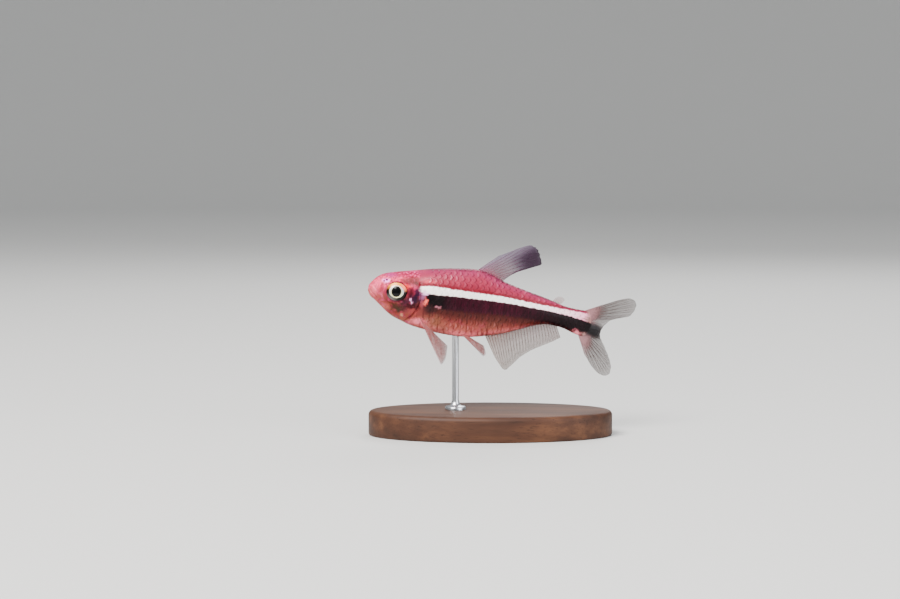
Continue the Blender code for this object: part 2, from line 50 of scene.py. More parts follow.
# %% [markdown]
# The solids are in the file now. Sizes could be typed in metres throughout, but a name for the
# millimetre makes them easier to read.

# %% Tools and units
import math

import bmesh
import bpy
import numpy as np
from mathutils import Matrix, Vector

MM = 0.001
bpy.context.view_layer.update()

# %% [markdown]
# ## The fish's outlines
#
# A fish is easiest to shape straight and level, as on a chart in a fish book, and to bend
# afterwards. The chart here has four lines from the snout at 0 to the root of the tail fin at 1:
# the back, the belly, half of the width, and the level where the body is widest. They could be
# curve objects, but short lists of points with a smooth curve through them are easier to read
# and to correct. They repeat the solids' own lines, so that the skin lies on them, and they run
# on a little past 1, where the flesh thins out between the tail fin's rays.

# %% Draw the four lines
LENGTH = 32 * MM
BACK = (
    (0.0, 0.004), (0.012, 0.030), (0.036, 0.056), (0.064, 0.0725), (0.11, 0.086), (0.19, 0.104),
    (0.28, 0.124), (0.39, 0.141), (0.475, 0.148), (0.53, 0.138), (0.593, 0.115), (0.67, 0.0945),
    (0.76, 0.0755), (0.82, 0.0635), (0.88, 0.052), (0.935, 0.0525), (1.0, 0.060), (1.045, 0.066),
)
BELLY = (
    (0.0, -0.010), (0.012, -0.028), (0.032, -0.048), (0.061, -0.070), (0.09, -0.092),
    (0.123, -0.112), (0.165, -0.127), (0.208, -0.1405), (0.28, -0.152), (0.35, -0.159),
    (0.448, -0.159), (0.524, -0.147), (0.623, -0.118), (0.693, -0.090), (0.75, -0.066),
    (0.815, -0.047), (0.895, -0.046), (0.955, -0.055), (1.0, -0.058), (1.045, -0.064),
)
HALF_WIDTH = (
    (0.0, 0.010), (0.012, 0.021), (0.03, 0.031), (0.06, 0.042), (0.10, 0.052), (0.15, 0.059),
    (0.20, 0.063), (0.26, 0.066), (0.34, 0.067), (0.42, 0.066), (0.50, 0.062), (0.60, 0.053),
    (0.70, 0.042), (0.80, 0.032), (0.88, 0.025), (0.95, 0.018), (1.0, 0.0095), (1.03, 0.0030),
    (1.045, 0.0010),
)
WIDEST_AT = (
    (0.0, -0.003), (0.1, 0.0), (0.3, -0.008), (0.5, -0.012), (0.8, -0.006), (1.0, -0.003),
    (1.045, -0.002),
)
BELLY_PINCH = 1.14
print("the back is drawn by", len(BACK), "points, the belly by", len(BELLY))

# %% [markdown]
# The lists need a curve through them. Straight pieces would show as facets, and a spline of high
# degree swings between its points, so each span is a cubic whose slope at a point is that of the
# chord between its neighbours.

# %% Read the lines
def smooth(x, low, high):
    """0 up to low, 1 from high on, and an even S between."""
    x = np.clip((x - low) / (high - low), 0, 1)
    return x * x * (3 - 2 * x)


def through(x_points, y_points, x):
    """A smooth curve through points, read at x."""
    last = len(x_points) - 1
    before, after = np.maximum(np.arange(last + 1) - 1, 0), np.minimum(np.arange(last + 1) + 1, last)
    slope = (y_points[after] - y_points[before]) / (x_points[after] - x_points[before])
    x = np.clip(x, x_points[0], x_points[-1])
    i = np.clip(np.searchsorted(x_points, x, side="right") - 1, 0, last - 1)
    span, rise = x_points[i + 1] - x_points[i], y_points[i + 1] - y_points[i]
    u = (x - x_points[i]) / span
    bend_in, bend_out = slope[i] * span - rise, rise - slope[i + 1] * span
    return y_points[i] + rise * u + u * (1 - u) * (bend_in * (1 - u) + bend_out * u)


def outline(points, share):
    """A line's value at each share of the length. The root of the share rounds the snout."""
    x, y = np.array(points).T
    return through(np.sqrt(x), y, np.sqrt(np.maximum(share, 0)))


def section(share):
    """Top, bottom, half width and widest level of the body, in metres."""
    return [outline(line, share) * LENGTH for line in (BACK, BELLY, HALF_WIDTH, WIDEST_AT)]


deepest = max(np.subtract(*section(np.linspace(0, 1, 50))[:2])) / MM
print(f"the body is {LENGTH / MM:.0f} mm long and {deepest:.1f} mm deep")

# %% [markdown]
# A section of the body is an egg: two half ovals, one over the widest level and one below it, the
# lower one drawn in a little towards the belly's edge. Three questions come up again and again,
# so each gets a function: where a point of the skin is, how high a point lies between belly and
# back, and how far out the flank is at a height.

# %% Points on the body
def body(share, turn):
    """Points on the straight fish. turn goes once round from the top, past the right side."""
    top, bottom, half_width, widest = section(share)
    rise, side = np.cos(turn), np.sin(turn)
    reach = np.where(rise > 0, top - widest, widest - bottom)
    pinch = np.where(rise > 0, 1.0, BELLY_PINCH)
    y = half_width * np.sign(side) * np.abs(side) ** pinch
    return np.stack((share * LENGTH + 0 * turn, y, widest + rise * reach), axis=-1)


def level(points):
    """How high points lie between the belly at -1 and the back at 1."""
    top, bottom, _, widest = section(points[:, 0] / LENGTH)
    above = points[:, 2] - widest
    return np.clip(above / np.where(above > 0, top - widest, widest - bottom), -1, 1)


def flank(share, height):
    """How far out the side of the body lies at a height, in metres."""
    top, bottom, half_width, widest = section(share)
    rise = np.clip((height - widest) / np.where(height > widest, top - widest, widest - bottom), -1, 1)
    return half_width * np.sqrt(1 - rise * rise) ** np.where(rise > 0, 1.0, BELLY_PINCH)


print(f"the trunk is {2 * flank(0.34, 0.0) / MM:.1f} mm thick")

# %% [markdown]
# ## The pose
#
# The fish is caught in a turn: its tail swings away from the viewer and down a little, the nose
# points up and the belly tips forward. An armature could bend it, but two runs of arcs, one seen
# from the side and one from above, give the same bend to skin, scales and fins alike, and keep
# every length along the fish true. They are the same arcs that posed the solids.

# %% Bend and place
SWING = -8.0
SIDE_BENDS = ((0.0, 0.35, 6.0), (0.35, 0.60, 4.0), (0.60, 0.80, 9.0), (0.80, 1.0, 12.0), (1.0, 1.35, 6.0))
TAIL_BENDS = ((0.0, 0.74, 0.0), (0.74, 1.0, 9.0), (1.0, 1.35, 2.0))
BANK, NOSE_UP = 6.0, 8.4
ROD_SHARE, HELD_AT = 0.395, 19.4 * MM
rod_low, rod_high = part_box("stand_rod")
AXIS = np.array(((rod_low.x + rod_high.x) / 2, (rod_low.y + rod_high.y) / 2, HELD_AT))
TIPPED = Matrix.Rotation(math.radians(NOSE_UP), 3, "Y") @ Matrix.Rotation(math.radians(-BANK), 3, "X")


def along_bends(x, bends, heading):
    """Place and heading at each x along a line that turns at a steady rate in each bend."""
    ahead, aside, heading = np.zeros_like(x), np.zeros_like(x), np.full_like(x, math.radians(heading))
    for first, last, turn in bends:
        span = (last - first) * LENGTH
        run = x - first * LENGTH
        run = np.maximum(run, 0) if first > 0 else run
        run = np.minimum(run, span) if last < bends[-1][1] else run
        half_turn = math.radians(turn) * run / span / 2
        chord = run * np.sinc(half_turn / math.pi)
        ahead += chord * np.cos(heading + half_turn)
        aside += chord * np.sin(heading + half_turn)
        heading += 2 * half_turn
    return ahead, aside, heading


def bent(points):
    x, down, dip = along_bends(points[:, 0], TAIL_BENDS, 0.0)
    x = x + points[:, 2] * np.sin(dip)
    z = points[:, 2] * np.cos(dip) - down
    ahead, aside, heading = along_bends(x, SIDE_BENDS, SWING)
    out = points[:, 1]
    return np.stack((ahead - out * np.sin(heading), aside + out * np.cos(heading), z), axis=1)


def posed(points):
    """Points of the straight fish, carried to their place over the stand."""
    held = bent(np.array([[ROD_SHARE * LENGTH, 0, 0]]))
    return (bent(points) - held) @ np.array(TIPPED).T + AXIS


snout = posed(body(np.zeros(1), np.zeros(1)))[0]

# %% [markdown]
# ## Small helpers for meshes
#
# Each piece is shaped on the straight fish. Before it is bent, every corner writes down where it
# was: its share of the length, its height and its side. The colours read that note, called
# place, so stripe and band follow the bent body, and the skin and each scale agree about them.

# %% Helpers that note the place, pose a mesh and show it
def corners(mesh):
    flat = np.empty(len(mesh.vertices) * 3, np.float32)
    mesh.vertices.foreach_get("co", flat)
    return flat.reshape(-1, 3).astype(float)


def set_corners(mesh, points):
    mesh.vertices.foreach_set("co", points.astype(np.float32).ravel())


def note(mesh, name, values):
    """Stores one number or one vector for each corner."""
    kind, field = ("FLOAT_VECTOR", "vector") if values.ndim == 2 else ("FLOAT", "value")
    mesh.attributes.new(name, kind, "POINT").data.foreach_set(field, values.astype(np.float32).ravel())


def put_in_pose(mesh):
    straight = corners(mesh)
    note(mesh, "place", straight / LENGTH)
    note(mesh, "level", level(straight))
    set_corners(mesh, posed(straight))
    mesh.update()


def mesh_from(bm, name):
    """Turns the faces of a closed bmesh outwards and makes it a mesh."""
    bmesh.ops.recalc_face_normals(bm, faces=bm.faces)
    if bm.calc_volume(signed=True) < 0:
        bmesh.ops.reverse_faces(bm, faces=bm.faces)
    mesh = bpy.data.meshes.new(name)
    bm.to_mesh(mesh)
    bm.free()
    mesh.shade_smooth()
    return mesh


def into_scene(name, data):
    obj = bpy.data.objects.new(name, data)
    bpy.context.scene.collection.objects.link(obj)
    return obj


def show(name, mesh, finish, slot, *nodes):
    """Makes a finished piece of a mesh: dressed, riding on the model, in place of its solids."""
    obj = into_scene(name, mesh)
    mesh.materials.clear()
    mesh.materials.append(finish.material)
    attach(obj, "root")
    if nodes:
        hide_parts(*nodes)
    mesh.calc_loop_triangles()
    print(name, "has", len(mesh.loop_triangles), "triangles")


# %% [markdown]
# ## The lines of the head
#
# The work on a fish's head is mostly lines: the slit of the mouth, the slim upper jaw blade, the
# cheek plate, the gill cover's rear edge with the opening behind it. Sculpting them by hand would
# not repeat. Here each is a short line on the chart, and a formula lifts or sinks the skin by its
# distance from that line.

# %% Draw the head's lines
MOUTH = ((-0.01, 0.008), (0.0, -0.001), (0.024, -0.021), (0.050, -0.045))
JAW_BLADE = ((0.016, 0.006), (0.040, -0.016), (0.060, -0.040), (0.068, -0.056))
CHIN_SEAM = ((0.060, -0.062), (0.092, -0.078), (0.118, -0.100))
CHEEK_EDGE = (
    (0.192, 0.046), (0.196, 0.0), (0.190, -0.042), (0.171, -0.076), (0.138, -0.090), (0.100, -0.080),
)
COVER_SEAM = ((0.193, -0.050), (0.215, -0.060), (0.236, -0.056))
GILL_EDGE = (
    (0.226, 0.062), (0.231, 0.040), (0.236, 0.020), (0.241, -0.004), (0.242, -0.036), (0.230, -0.074),
    (0.206, -0.106), (0.173, -0.130), (0.14, -0.15),
)
JAW_TIP, EYE_AT = (0.014, -0.034), (0.135, -0.004)
EYE_RADIUS = 1.48 * MM
HEAD_END = 0.30


def from_line(line, points):
    """Signed distance from a line on the chart, in metres: positive behind and below it."""
    best = np.full(len(points), np.inf)
    sign = np.ones(len(points))
    flat = points[:, [0, 2]]
    for start, end in zip(line[:-1], line[1:]):
        a, b = np.array(start) * LENGTH, np.array(end) * LENGTH
        run = b - a
        arm = flat - a
        along = np.clip(arm @ run / (run @ run), 0, 1)
        away = np.linalg.norm(arm - along[:, None] * run, axis=1)
        nearer = away < best
        best = np.where(nearer, away, best)
        sign = np.where(nearer, np.sign(run[0] * arm[:, 1] - run[1] * arm[:, 0]), sign)
    return best * sign


mouth_depth = (MOUTH[1][1] - MOUTH[-1][1]) * LENGTH / MM
print(f"the mouth slants down by {mouth_depth:.1f} mm")

# %% [markdown]
# The relief is a sum of soft ridges and grooves, each a bell curve of the distance from a line.
# Lips stand beside a groove, the gill cover ends in a step with the opening behind it, and a low
# wall runs round the eye. All of it is hundredths of a millimetre high, up to a fifth at the chin.

# %% Raise lips, jaw, cheek and gill cover
def hump(distance, width):
    """A rounded rise that is 1 on its line and fades over a width."""
    return np.exp(-((distance / width) ** 2))


def head_relief(points):
    """How far lips, jaw, cheek and gill cover stand out from the plain head, in metres."""
    along, aside, height = points[:, 0], np.abs(points[:, 1]), points[:, 2]
    mouth, blade = from_line(MOUTH, points), from_line(JAW_BLADE, points)
    cheek, gill = from_line(CHEEK_EDGE, points), from_line(GILL_EDGE, points)
    jaw_tip = np.hypot(along - JAW_TIP[0] * LENGTH, height - JAW_TIP[1] * LENGTH)
    eye = np.hypot(along - EYE_AT[0] * LENGTH, height - EYE_AT[1] * LENGTH)
    beside = smooth(aside, 0.15 * MM, 0.60 * MM)
    behind_tip = smooth(along, 0.0, 0.6 * MM)
    low_cheek = 1 - smooth(height / LENGTH, -0.010, 0.040)
    opening = (1 - smooth(height / LENGTH, 0.014, 0.058)) * smooth(aside, 0.1 * MM, 1.2 * MM)
    ridges = (
        # rise in millimetres, distance from the crest in metres, width in millimetres
        (0.05 * behind_tip, np.abs(mouth) - 0.20 * MM, 0.16),
        (-0.05 - 0.11 * behind_tip, mouth, 0.06),
        (0.17, jaw_tip, 0.55),
        (0.06 * beside, blade, 0.20),
        (-0.04 * beside, np.abs(blade) - 0.30 * MM, 0.08),
        (-0.03 * beside, from_line(CHIN_SEAM, points), 0.10),
        (0.045 * low_cheek, cheek, 0.14),
        (-0.035 * low_cheek, np.abs(cheek) - 0.26 * MM, 0.10),
        (-0.035, from_line(COVER_SEAM, points), 0.07),
        (-0.15 * opening, gill - 0.12 * MM, 0.10),
        (0.05, eye - EYE_RADIUS - 0.15 * MM, 0.16),
    )
    lift = sum(rise * hump(distance, width * MM) for rise, distance, width in ridges)
    lift += 0.10 * opening * smooth(-gill, -0.03 * MM, 0.07 * MM) * smooth(cheek, 0.1 * MM, 0.6 * MM)
    return lift * MM * (along < HEAD_END * LENGTH)


head_grid = body(np.linspace(0, HEAD_END, 400)[:, None], np.linspace(0, math.pi, 90)).reshape(-1, 3)
lifts = head_relief(head_grid) / MM
print(f"the head's relief runs from {lifts.min():.2f} to {lifts.max():.2f} mm")

# %% [markdown]
# ## The skin
#
# One skin covers head, lower jaw, trunk and tail stem, so that no seam of the solids shows. It
# could be stitched from the solids, but a tube of rings drawn out along the outlines is cleaner:
# a cylinder, its long edges divided into rings, and every ring moved to its place. The rings
# stand closest at the snout. The first few close it as a small dome, the last is drawn together
# in the middle, and a second division near the mouth and the gill opening gives those narrow
# grooves enough corners.

# %% Draw a tube out to the skin
RINGS, SIDES = 330, 160
CROWDING = 1.6
NOSE_PART, NOSE_DOME = 0.03, 0.03 * MM
TAIL_END = 1.035
TAIL_ROUNDING, ROUNDED_FROM = 0.026, 0.97
FINE_BAND = 0.45 * MM

bm = bmesh.new()
bmesh.ops.create_cone(bm, cap_ends=True, segments=SIDES, radius1=1, radius2=1, depth=1)
long_edges = [e for e in bm.edges if abs(e.verts[0].co.z - e.verts[1].co.z) > 0.5]
bmesh.ops.subdivide_edges(bm, edges=long_edges, cuts=RINGS - 1, use_grid_fill=True)
tube = np.array([v.co for v in bm.verts])
turn, along = np.arctan2(tube[:, 0], tube[:, 1]), tube[:, 2] + 0.5
share = TAIL_END * np.clip((along - NOSE_PART) / (1 - NOSE_PART), 0, 1) ** CROWDING
in_dome = np.clip(along / NOSE_PART, 0, 1) * math.pi / 2
share = share - TAIL_ROUNDING * smooth(share, ROUNDED_FROM, TAIL_END) * np.cos(turn) ** 2
points = body(share, turn)
middle = np.stack((points[:, 0], 0 * turn, section(share)[3]), axis=1)
points = middle + (points - middle) * np.sin(in_dome)[:, None]
points[:, 0] -= NOSE_DOME * np.cos(in_dome) ** 2
at_end = along > 0.9999
points[at_end] = middle[at_end]
for vert, point in zip(bm.verts, points):
    vert.co = point
bmesh.ops.remove_doubles(bm, verts=bm.verts, dist=0.0001 * MM)

near = np.array([v.co for v in bm.verts])
fine = np.minimum(np.abs(from_line(MOUTH, near)), np.abs(from_line(GILL_EDGE, near) - 0.1 * MM)) < FINE_BAND
bm.verts.index_update()
fine_edges = [e for e in bm.edges if all(fine[v.index] for v in e.verts)]
bmesh.ops.subdivide_edges(bm, edges=fine_edges, cuts=1, use_grid_fill=True)
skin = mesh_from(bm, "skin")
print("skin tube has", len(skin.vertices), "corners")

# %% [markdown]
# Lips, jaw, cheek and gill cover are now pushed out of the plain skin, or into it. Moving corners
# straight aside would stretch them where the head curves, so each corner moves along its own
# normal. The gill cover's edge is the steepest step, and two rounds of smoothing even it out.

# %% Raise the head's relief along the skin's own way out
outward = np.empty(len(skin.vertices) * 3, np.float32)
skin.vertex_normals.foreach_get("vector", outward)
straight = corners(skin)
straight += outward.reshape(-1, 3) * head_relief(straight)[:, None]
set_corners(skin, straight)
bm = bmesh.new()
bm.from_mesh(skin)
at_gill = np.abs(from_line(GILL_EDGE, straight) - 0.1 * MM) < FINE_BAND * 0.8
bm.verts.ensure_lookup_table()
for _ in range(2):
    rough = [bm.verts[i] for i in np.flatnonzero(at_gill)]
    bmesh.ops.smooth_vert(bm, verts=rough, factor=0.5, use_axis_x=True, use_axis_y=True, use_axis_z=True)
bm.to_mesh(skin)
bm.free()
print("the gill cover's edge was smoothed at", int(at_gill.sum()), "corners")

# %% [markdown]
# ## Eye sockets and nostrils
#
# Both are real hollows. Pushing corners in would leave a jagged rim on the grid of rings, so
# smooth cutters are subtracted instead: one flattened ball for each eye, and two small balls for
# each side's pair of nostrils. The solver named here is the fast one for closed meshes.

# %% Cut the sockets and the nostrils
SOCKET_RADIUS, SOCKET_DEPTH = EYE_RADIUS + 0.03 * MM, 0.85 * MM
EYE_PROUD = 0.05 * MM
NOSTRILS = ((0.071, 0.037, 0.15 * MM), (0.083, 0.043, 0.19 * MM))


def ball(bm, centre, sizes, segments):
    made = bmesh.ops.create_uvsphere(bm, u_segments=segments, v_segments=segments // 2, radius=1)
    bmesh.ops.rotate(bm, verts=made["verts"], matrix=Matrix.Rotation(math.pi / 2, 3, "X"))
    bmesh.ops.scale(bm, verts=made["verts"], vec=sizes)
    bmesh.ops.translate(bm, verts=made["verts"], vec=centre)


eye_x, eye_z = EYE_AT[0] * LENGTH, EYE_AT[1] * LENGTH
eye_out = float(flank(EYE_AT[0], eye_z))
bm = bmesh.new()
for side in (-1, 1):
    ball(bm, (eye_x, side * (eye_out + EYE_PROUD), eye_z), (SOCKET_RADIUS, SOCKET_DEPTH, SOCKET_RADIUS), 96)
    for x, z, radius in NOSTRILS:
        out = float(flank(x, z * LENGTH))
        ball(bm, (x * LENGTH, side * out, z * LENGTH), (radius, 0.16 * MM, radius * 0.8), 24)
cutter, blank = into_scene("cutter", mesh_from(bm, "cutter")), into_scene("blank", skin)
cut = blank.modifiers.new("sockets", "BOOLEAN")
cut.operation, cut.solver, cut.object = "DIFFERENCE", "MANIFOLD", cutter
skin = bpy.data.meshes.new_from_object(blank.evaluated_get(bpy.context.evaluated_depsgraph_get()))
for obj in (cutter, blank):
    bpy.data.objects.remove(obj)
skin.name = "skin"
skin.shade_smooth()
skin.set_sharp_from_angle(angle=math.radians(55))
put_in_pose(skin)
print("skin now has", len(skin.vertices), "corners")

# %% [markdown]
# ## A helper for finishes
#
# Every finish below is a small net of shader nodes. Written out socket by socket such nets are
# long and hard to follow. Two small classes make them short. A wire carries a value through a
# net, and sums of wires are written as plain sums. A finish is the material with its net, and
# names the few things it is made of: notes read from the mesh, noise, blends of two colours.

# %% A wire through a net
def tint(red, green, blue):
    """A colour as it looks on a screen, 0 to 255, in the shader's own linear values."""
    linear = [c / 255 / 12.92 if c <= 10 else ((c / 255 + 0.055) / 1.055) ** 2.4 for c in (red, green, blue)]
    return (*linear, 1.0)


def as_sum(operation, swapped=False):
    """A wire's method that adds one step of arithmetic to its net."""
    def method(wire, other=None):
        first, second = (other, wire) if swapped else (wire, other)
        return wire.finish.sum(operation, first, second)
    return method


class Wire:
    """A value on its way through a finish."""

    __add__ = __radd__ = as_sum("ADD")
    __mul__ = __rmul__ = as_sum("MULTIPLY")
    __sub__, __rsub__ = as_sum("SUBTRACT"), as_sum("SUBTRACT", swapped=True)
    __truediv__, __pow__, __abs__ = as_sum("DIVIDE"), as_sum("POWER"), as_sum("ABSOLUTE")

    def __init__(self, finish, socket):
        self.finish, self.socket = finish, socket

    def parts(self):
        return [Wire(self.finish, part) for part in self.finish.node("SeparateXYZ", {0: self}).outputs]

    def ease(self, low, high, start=0.0, end=1.0):
        """An even S from start to end as the value goes from low to high."""
        inputs = {"Value": self, "From Min": low, "From Max": high, "To Min": start, "To Max": end}
        return self.finish.value("MapRange", inputs, interpolation_type="SMOOTHSTEP")

    def follow(self, points):
        """A curve through points of (value, result), both from 0 to 1."""
        made = self.finish.node("FloatCurve", {"Value": self})
        curve = made.mapping.curves[0]
        curve.points[0].location, curve.points[1].location = points[0], points[-1]
        for x, y in points[1:-1]:
            curve.points.new(x, y)
        made.mapping.update()
        return Wire(self.finish, made.outputs[0])

    def shades(self, stops, read=tint):
        """Colours along the value, from stops of a place and the numbers that read takes."""
        stops = [(place, read(*numbers)) for place, *numbers in stops]
        ramp = self.finish.node("ValToRGB", {"Fac": self})
        elements = ramp.color_ramp.elements
        elements[0].position, elements[0].color = stops[0]
        elements[1].position, elements[1].color = stops[-1]
        for place, colour in stops[1:-1]:
            elements.new(place).color = colour
        return Wire(self.finish, ramp.outputs[0])


print("mid grey on a screen is", round(tint(128, 128, 128)[0], 3), "to the shader")

# %% [markdown]
# A finish keeps its material, its nodes and its shader together. What is the same all over a
# surface, such as the gloss of the coat, is set on the shader when the finish is made.

# %% A finish and its net
class Finish:
    """A material and the moves that build its net."""

    def __init__(self, name, **settings):
        self.material = bpy.data.materials.new(name)
        self.material.use_nodes = True
        self.nodes = self.material.node_tree.nodes
        self.shader = self.nodes["Principled BSDF"]
        for socket, value in settings.items():
            self.set(socket.replace("_", " "), value)

    def join(self, value, socket):
        if isinstance(value, Wire):
            self.material.node_tree.links.new(value.socket, socket)
        elif value is not None:
            socket.default_value = value

    def set(self, socket, value):
        self.join(value, self.shader.inputs[socket])

    def node(self, kind, inputs=(), **settings):
        made = self.nodes.new("ShaderNode" + kind)
        for name, value in settings.items():
            setattr(made, name, value)
        for key, value in dict(inputs).items():
            self.join(value, made.inputs[key])
        return made

    def value(self, kind, inputs=(), output=0, **settings):
        return Wire(self, self.node(kind, inputs, **settings).outputs[output])

    def note(self, name, output="Vector"):
        return self.value("Attribute", output=output, attribute_name=name)

    def vector(self, x, y, z):
        return self.value("CombineXYZ", {0: x, 1: y, 2: z})

    def sum(self, operation, a, b=None):
        return self.value("Math", {0: a, 1: b}, operation=operation)

    def blend(self, share, a, b):
        """Two colours in one. Each is a wire, or its red, green and blue on a screen."""
        a, b = [tint(*colour) if isinstance(colour, tuple) else colour for colour in (a, b)]
        return self.value("Mix", {0: share, 6: a, 7: b}, 2, data_type="RGBA")

    def coats(self, colour, *coats):
        """Lays (share, colour) coats over a colour, from the first to the last."""
        for share, coat in coats:
            colour = self.blend(share, colour, coat)
        return colour

    def noise(self, vector, scale, detail=2.0, stretch=(1, 1, 1)):
        where = self.value("Mapping", {"Vector": vector, "Scale": stretch})
        return self.value("TexNoise", {"Vector": where, "Scale": scale, "Detail": detail})

    def dots(self, vector, scale):
        """Distance from the nearest of many scattered points."""
        return self.value("TexVoronoi", {"Vector": vector, "Scale": scale}, "Distance")

    def bump(self, height, distance, strength=1.0):
        return self.value("Bump", {"Height": height, "Distance": distance, "Strength": strength})


# %% [markdown]
# ## The fish's colours
#
# What names this fish is a white stripe over a black band, from the gill cover to the tail. The
# rest is a thin skin over pink flesh with a silver layer under it: rosy on the back, paler and
# half clear on the belly, and patchy on the head. A painted picture could carry all of it, but
# a net of nodes on the chart's own coordinates stays sharp at any size and fits skin and scales
# alike. It is painted as with a brush, from the large tones to the small spots.

# %% Colours of the flanks
skin_finish = Finish(
    "fish_skin", IOR=1.38, Specular_IOR_Level=0.16, Coat_Roughness=0.15,
    Subsurface_Weight=0.12, Subsurface_Radius=(1.0, 0.4, 0.3), Subsurface_Scale=0.6 * MM,
)
paint = skin_finish
place = paint.note("place")
across, _, height = place.parts()
raised = paint.note("level", "Fac")
edge_noise = paint.noise(place, 70, 3.0)
streaks = paint.noise(place, 34, 4.0, stretch=(4.4, 0.4, 0.40))
mottle = paint.noise(place, 34, 4.0)
clouds = paint.noise(place, 11, 2.0)

FLANK_SHADES = (
    # place from belly to back, red, green, blue
    # the pale stop at 0.04 is a painted highlight along the belly's lower edge
    (0.00, 196, 134, 124), (0.04, 240, 168, 168), (0.12, 196, 132, 122), (0.27, 162, 102, 92),
    (0.42, 130, 74, 72), (0.56, 176, 88, 106), (0.70, 174, 84, 106), (0.84, 186, 94, 122),
    (0.94, 190, 104, 138), (1.00, 152, 84, 112),
)
wobble = clouds * 0.1 - 0.05
girth = raised * 0.5 + 0.5 + wobble
low_flank = raised.ease(-0.1, -0.35)
colour = paint.coats(
    girth.shades(FLANK_SHADES),
    (low_flank * streaks.ease(0.52, 0.66, 0.0, 0.55), (132, 60, 54)),
    (low_flank * clouds.ease(0.5, 0.66, 0.0, 0.36), (166, 130, 112)),
    (mottle.ease(0.5, 0.72, 0.0, 0.4), (208, 116, 140)),
)
print("flank shades run from belly to back in", len(FLANK_SHADES), "steps")

# %% [markdown]
# Stripe and band are drawn by three lines along the fish: the stripe's middle, half of its width,
# and the band's lower edge. Curves in the net carry them, so each can bend and taper on its own,
# and a little noise on the height roughens their edges as pigment does.

# %% Band and stripe
STRIPE_MIDDLE = ((0.0, 0.524), (0.249, 0.524), (0.411, 0.527), (0.624, 0.529), (0.791, 0.523), (1.0, 0.530))
STRIPE_HALF = (
    (0.0, 0.006), (0.222, 0.010), (0.262, 0.0165), (0.41, 0.0155), (0.62, 0.0132), (0.80, 0.0115),
    (0.92, 0.0145), (1.0, 0.019),
)
BAND_FOOT = (
    (0.0, 0.462), (0.26, 0.458), (0.33, 0.450), (0.42, 0.450), (0.60, 0.462), (0.80, 0.461),
    (0.92, 0.455), (1.0, 0.462),
)
PLUM_ALONG = ((0.0, 0.05), (0.31, 0.06), (0.40, 0.50), (0.62, 0.58), (0.78, 0.34), (0.92, 0.18), (1.0, 0.22))
STRIPE_SHADES = ((0.0, 255, 252, 246), (0.66, 255, 253, 250), (0.84, 255, 240, 243), (1.0, 255, 200, 218))
edged = height + 0.5 + edge_noise * 0.01 - 0.005
middle, half, foot = [across.follow(line) for line in (STRIPE_MIDDLE, STRIPE_HALF, BAND_FOOT)]
from_middle = edged - middle
band_top = (from_middle + half).ease(0.006, -0.004)
combed = streaks * 0.03 - 0.015
over_foot = edged + combed - foot
rough_start = across + mottle * 0.05 - 0.025
band_start = (rough_start - height * 0.12).ease(0.262, 0.276)
band = band_top * over_foot.ease(-0.01, 0.008) * band_start
brown = over_foot.ease(-0.075, -0.002) * band_top * band_start
plum_share = streaks.ease(0.3, 0.7, 0.55, 1.0) * across.follow(PLUM_ALONG)
seam = abs(from_middle - half - 0.007).ease(0.009, 0.001)
stripe = (abs(from_middle) / half).ease(1.16, 0.78) * rough_start.ease(0.222, 0.246)
colour = paint.coats(
    colour,
    (brown * 0.8, (104, 50, 46)),
    (band * 0.97, paint.blend(plum_share, (32, 8, 28), (140, 62, 98))),
    (seam * 0.45, (150, 44, 66)),
    (stripe, across.shades(STRIPE_SHADES)),
)
widest_stripe = 2 * max(width for _, width in STRIPE_HALF) * LENGTH / MM
print(f"the stripe is at most {widest_stripe:.1f} mm wide")

# %% [markdown]
# The head is rosier than the flanks and clouded. Its crown is freckled dark, and the pale dots on it
# are painted sparkles, painted highlights. It takes the place of the flank's colours in front of the
# gill cover's edge, and that border is ragged too, because a straight one would look like a mask.

# %% Colours of the head
HEAD_SHADES = (
    (0.00, 196, 142, 120), (0.10, 174, 114, 104), (0.28, 156, 104, 92), (0.44, 180, 106, 114),
    (0.60, 222, 94, 124), (0.82, 228, 94, 132), (1.00, 190, 92, 128),
)
crown = raised.ease(0.1, 0.6) * across.ease(0.09, 0.16)
freckles_and_sparkle = paint.noise(place, 120, 3.0)
on_crown = raised.ease(-0.05, 0.35)
head = paint.coats(
    girth.shades(HEAD_SHADES),
    (mottle.ease(0.5, 0.64, 0.0, 0.5), (246, 154, 194)),
    (edge_noise.ease(0.48, 0.62, 0.0, 0.5), (172, 66, 116)),
    (crown * 0.4, (196, 84, 138)),
    (on_crown * freckles_and_sparkle.ease(0.52, 0.62, 0.0, 0.6), (156, 48, 98)),
    # pale dots on the crown: painted sparkles, painted highlights
    (on_crown * freckles_and_sparkle.ease(0.46, 0.38, 0.0, 0.5), (255, 164, 200)),
    (across.ease(0.11, 0.04, 0.0, 0.35), (240, 150, 164)),
)
colour = paint.blend(rough_start.ease(0.236, 0.205), colour, head)
print("head shades run from belly to back in", len(HEAD_SHADES), "steps")
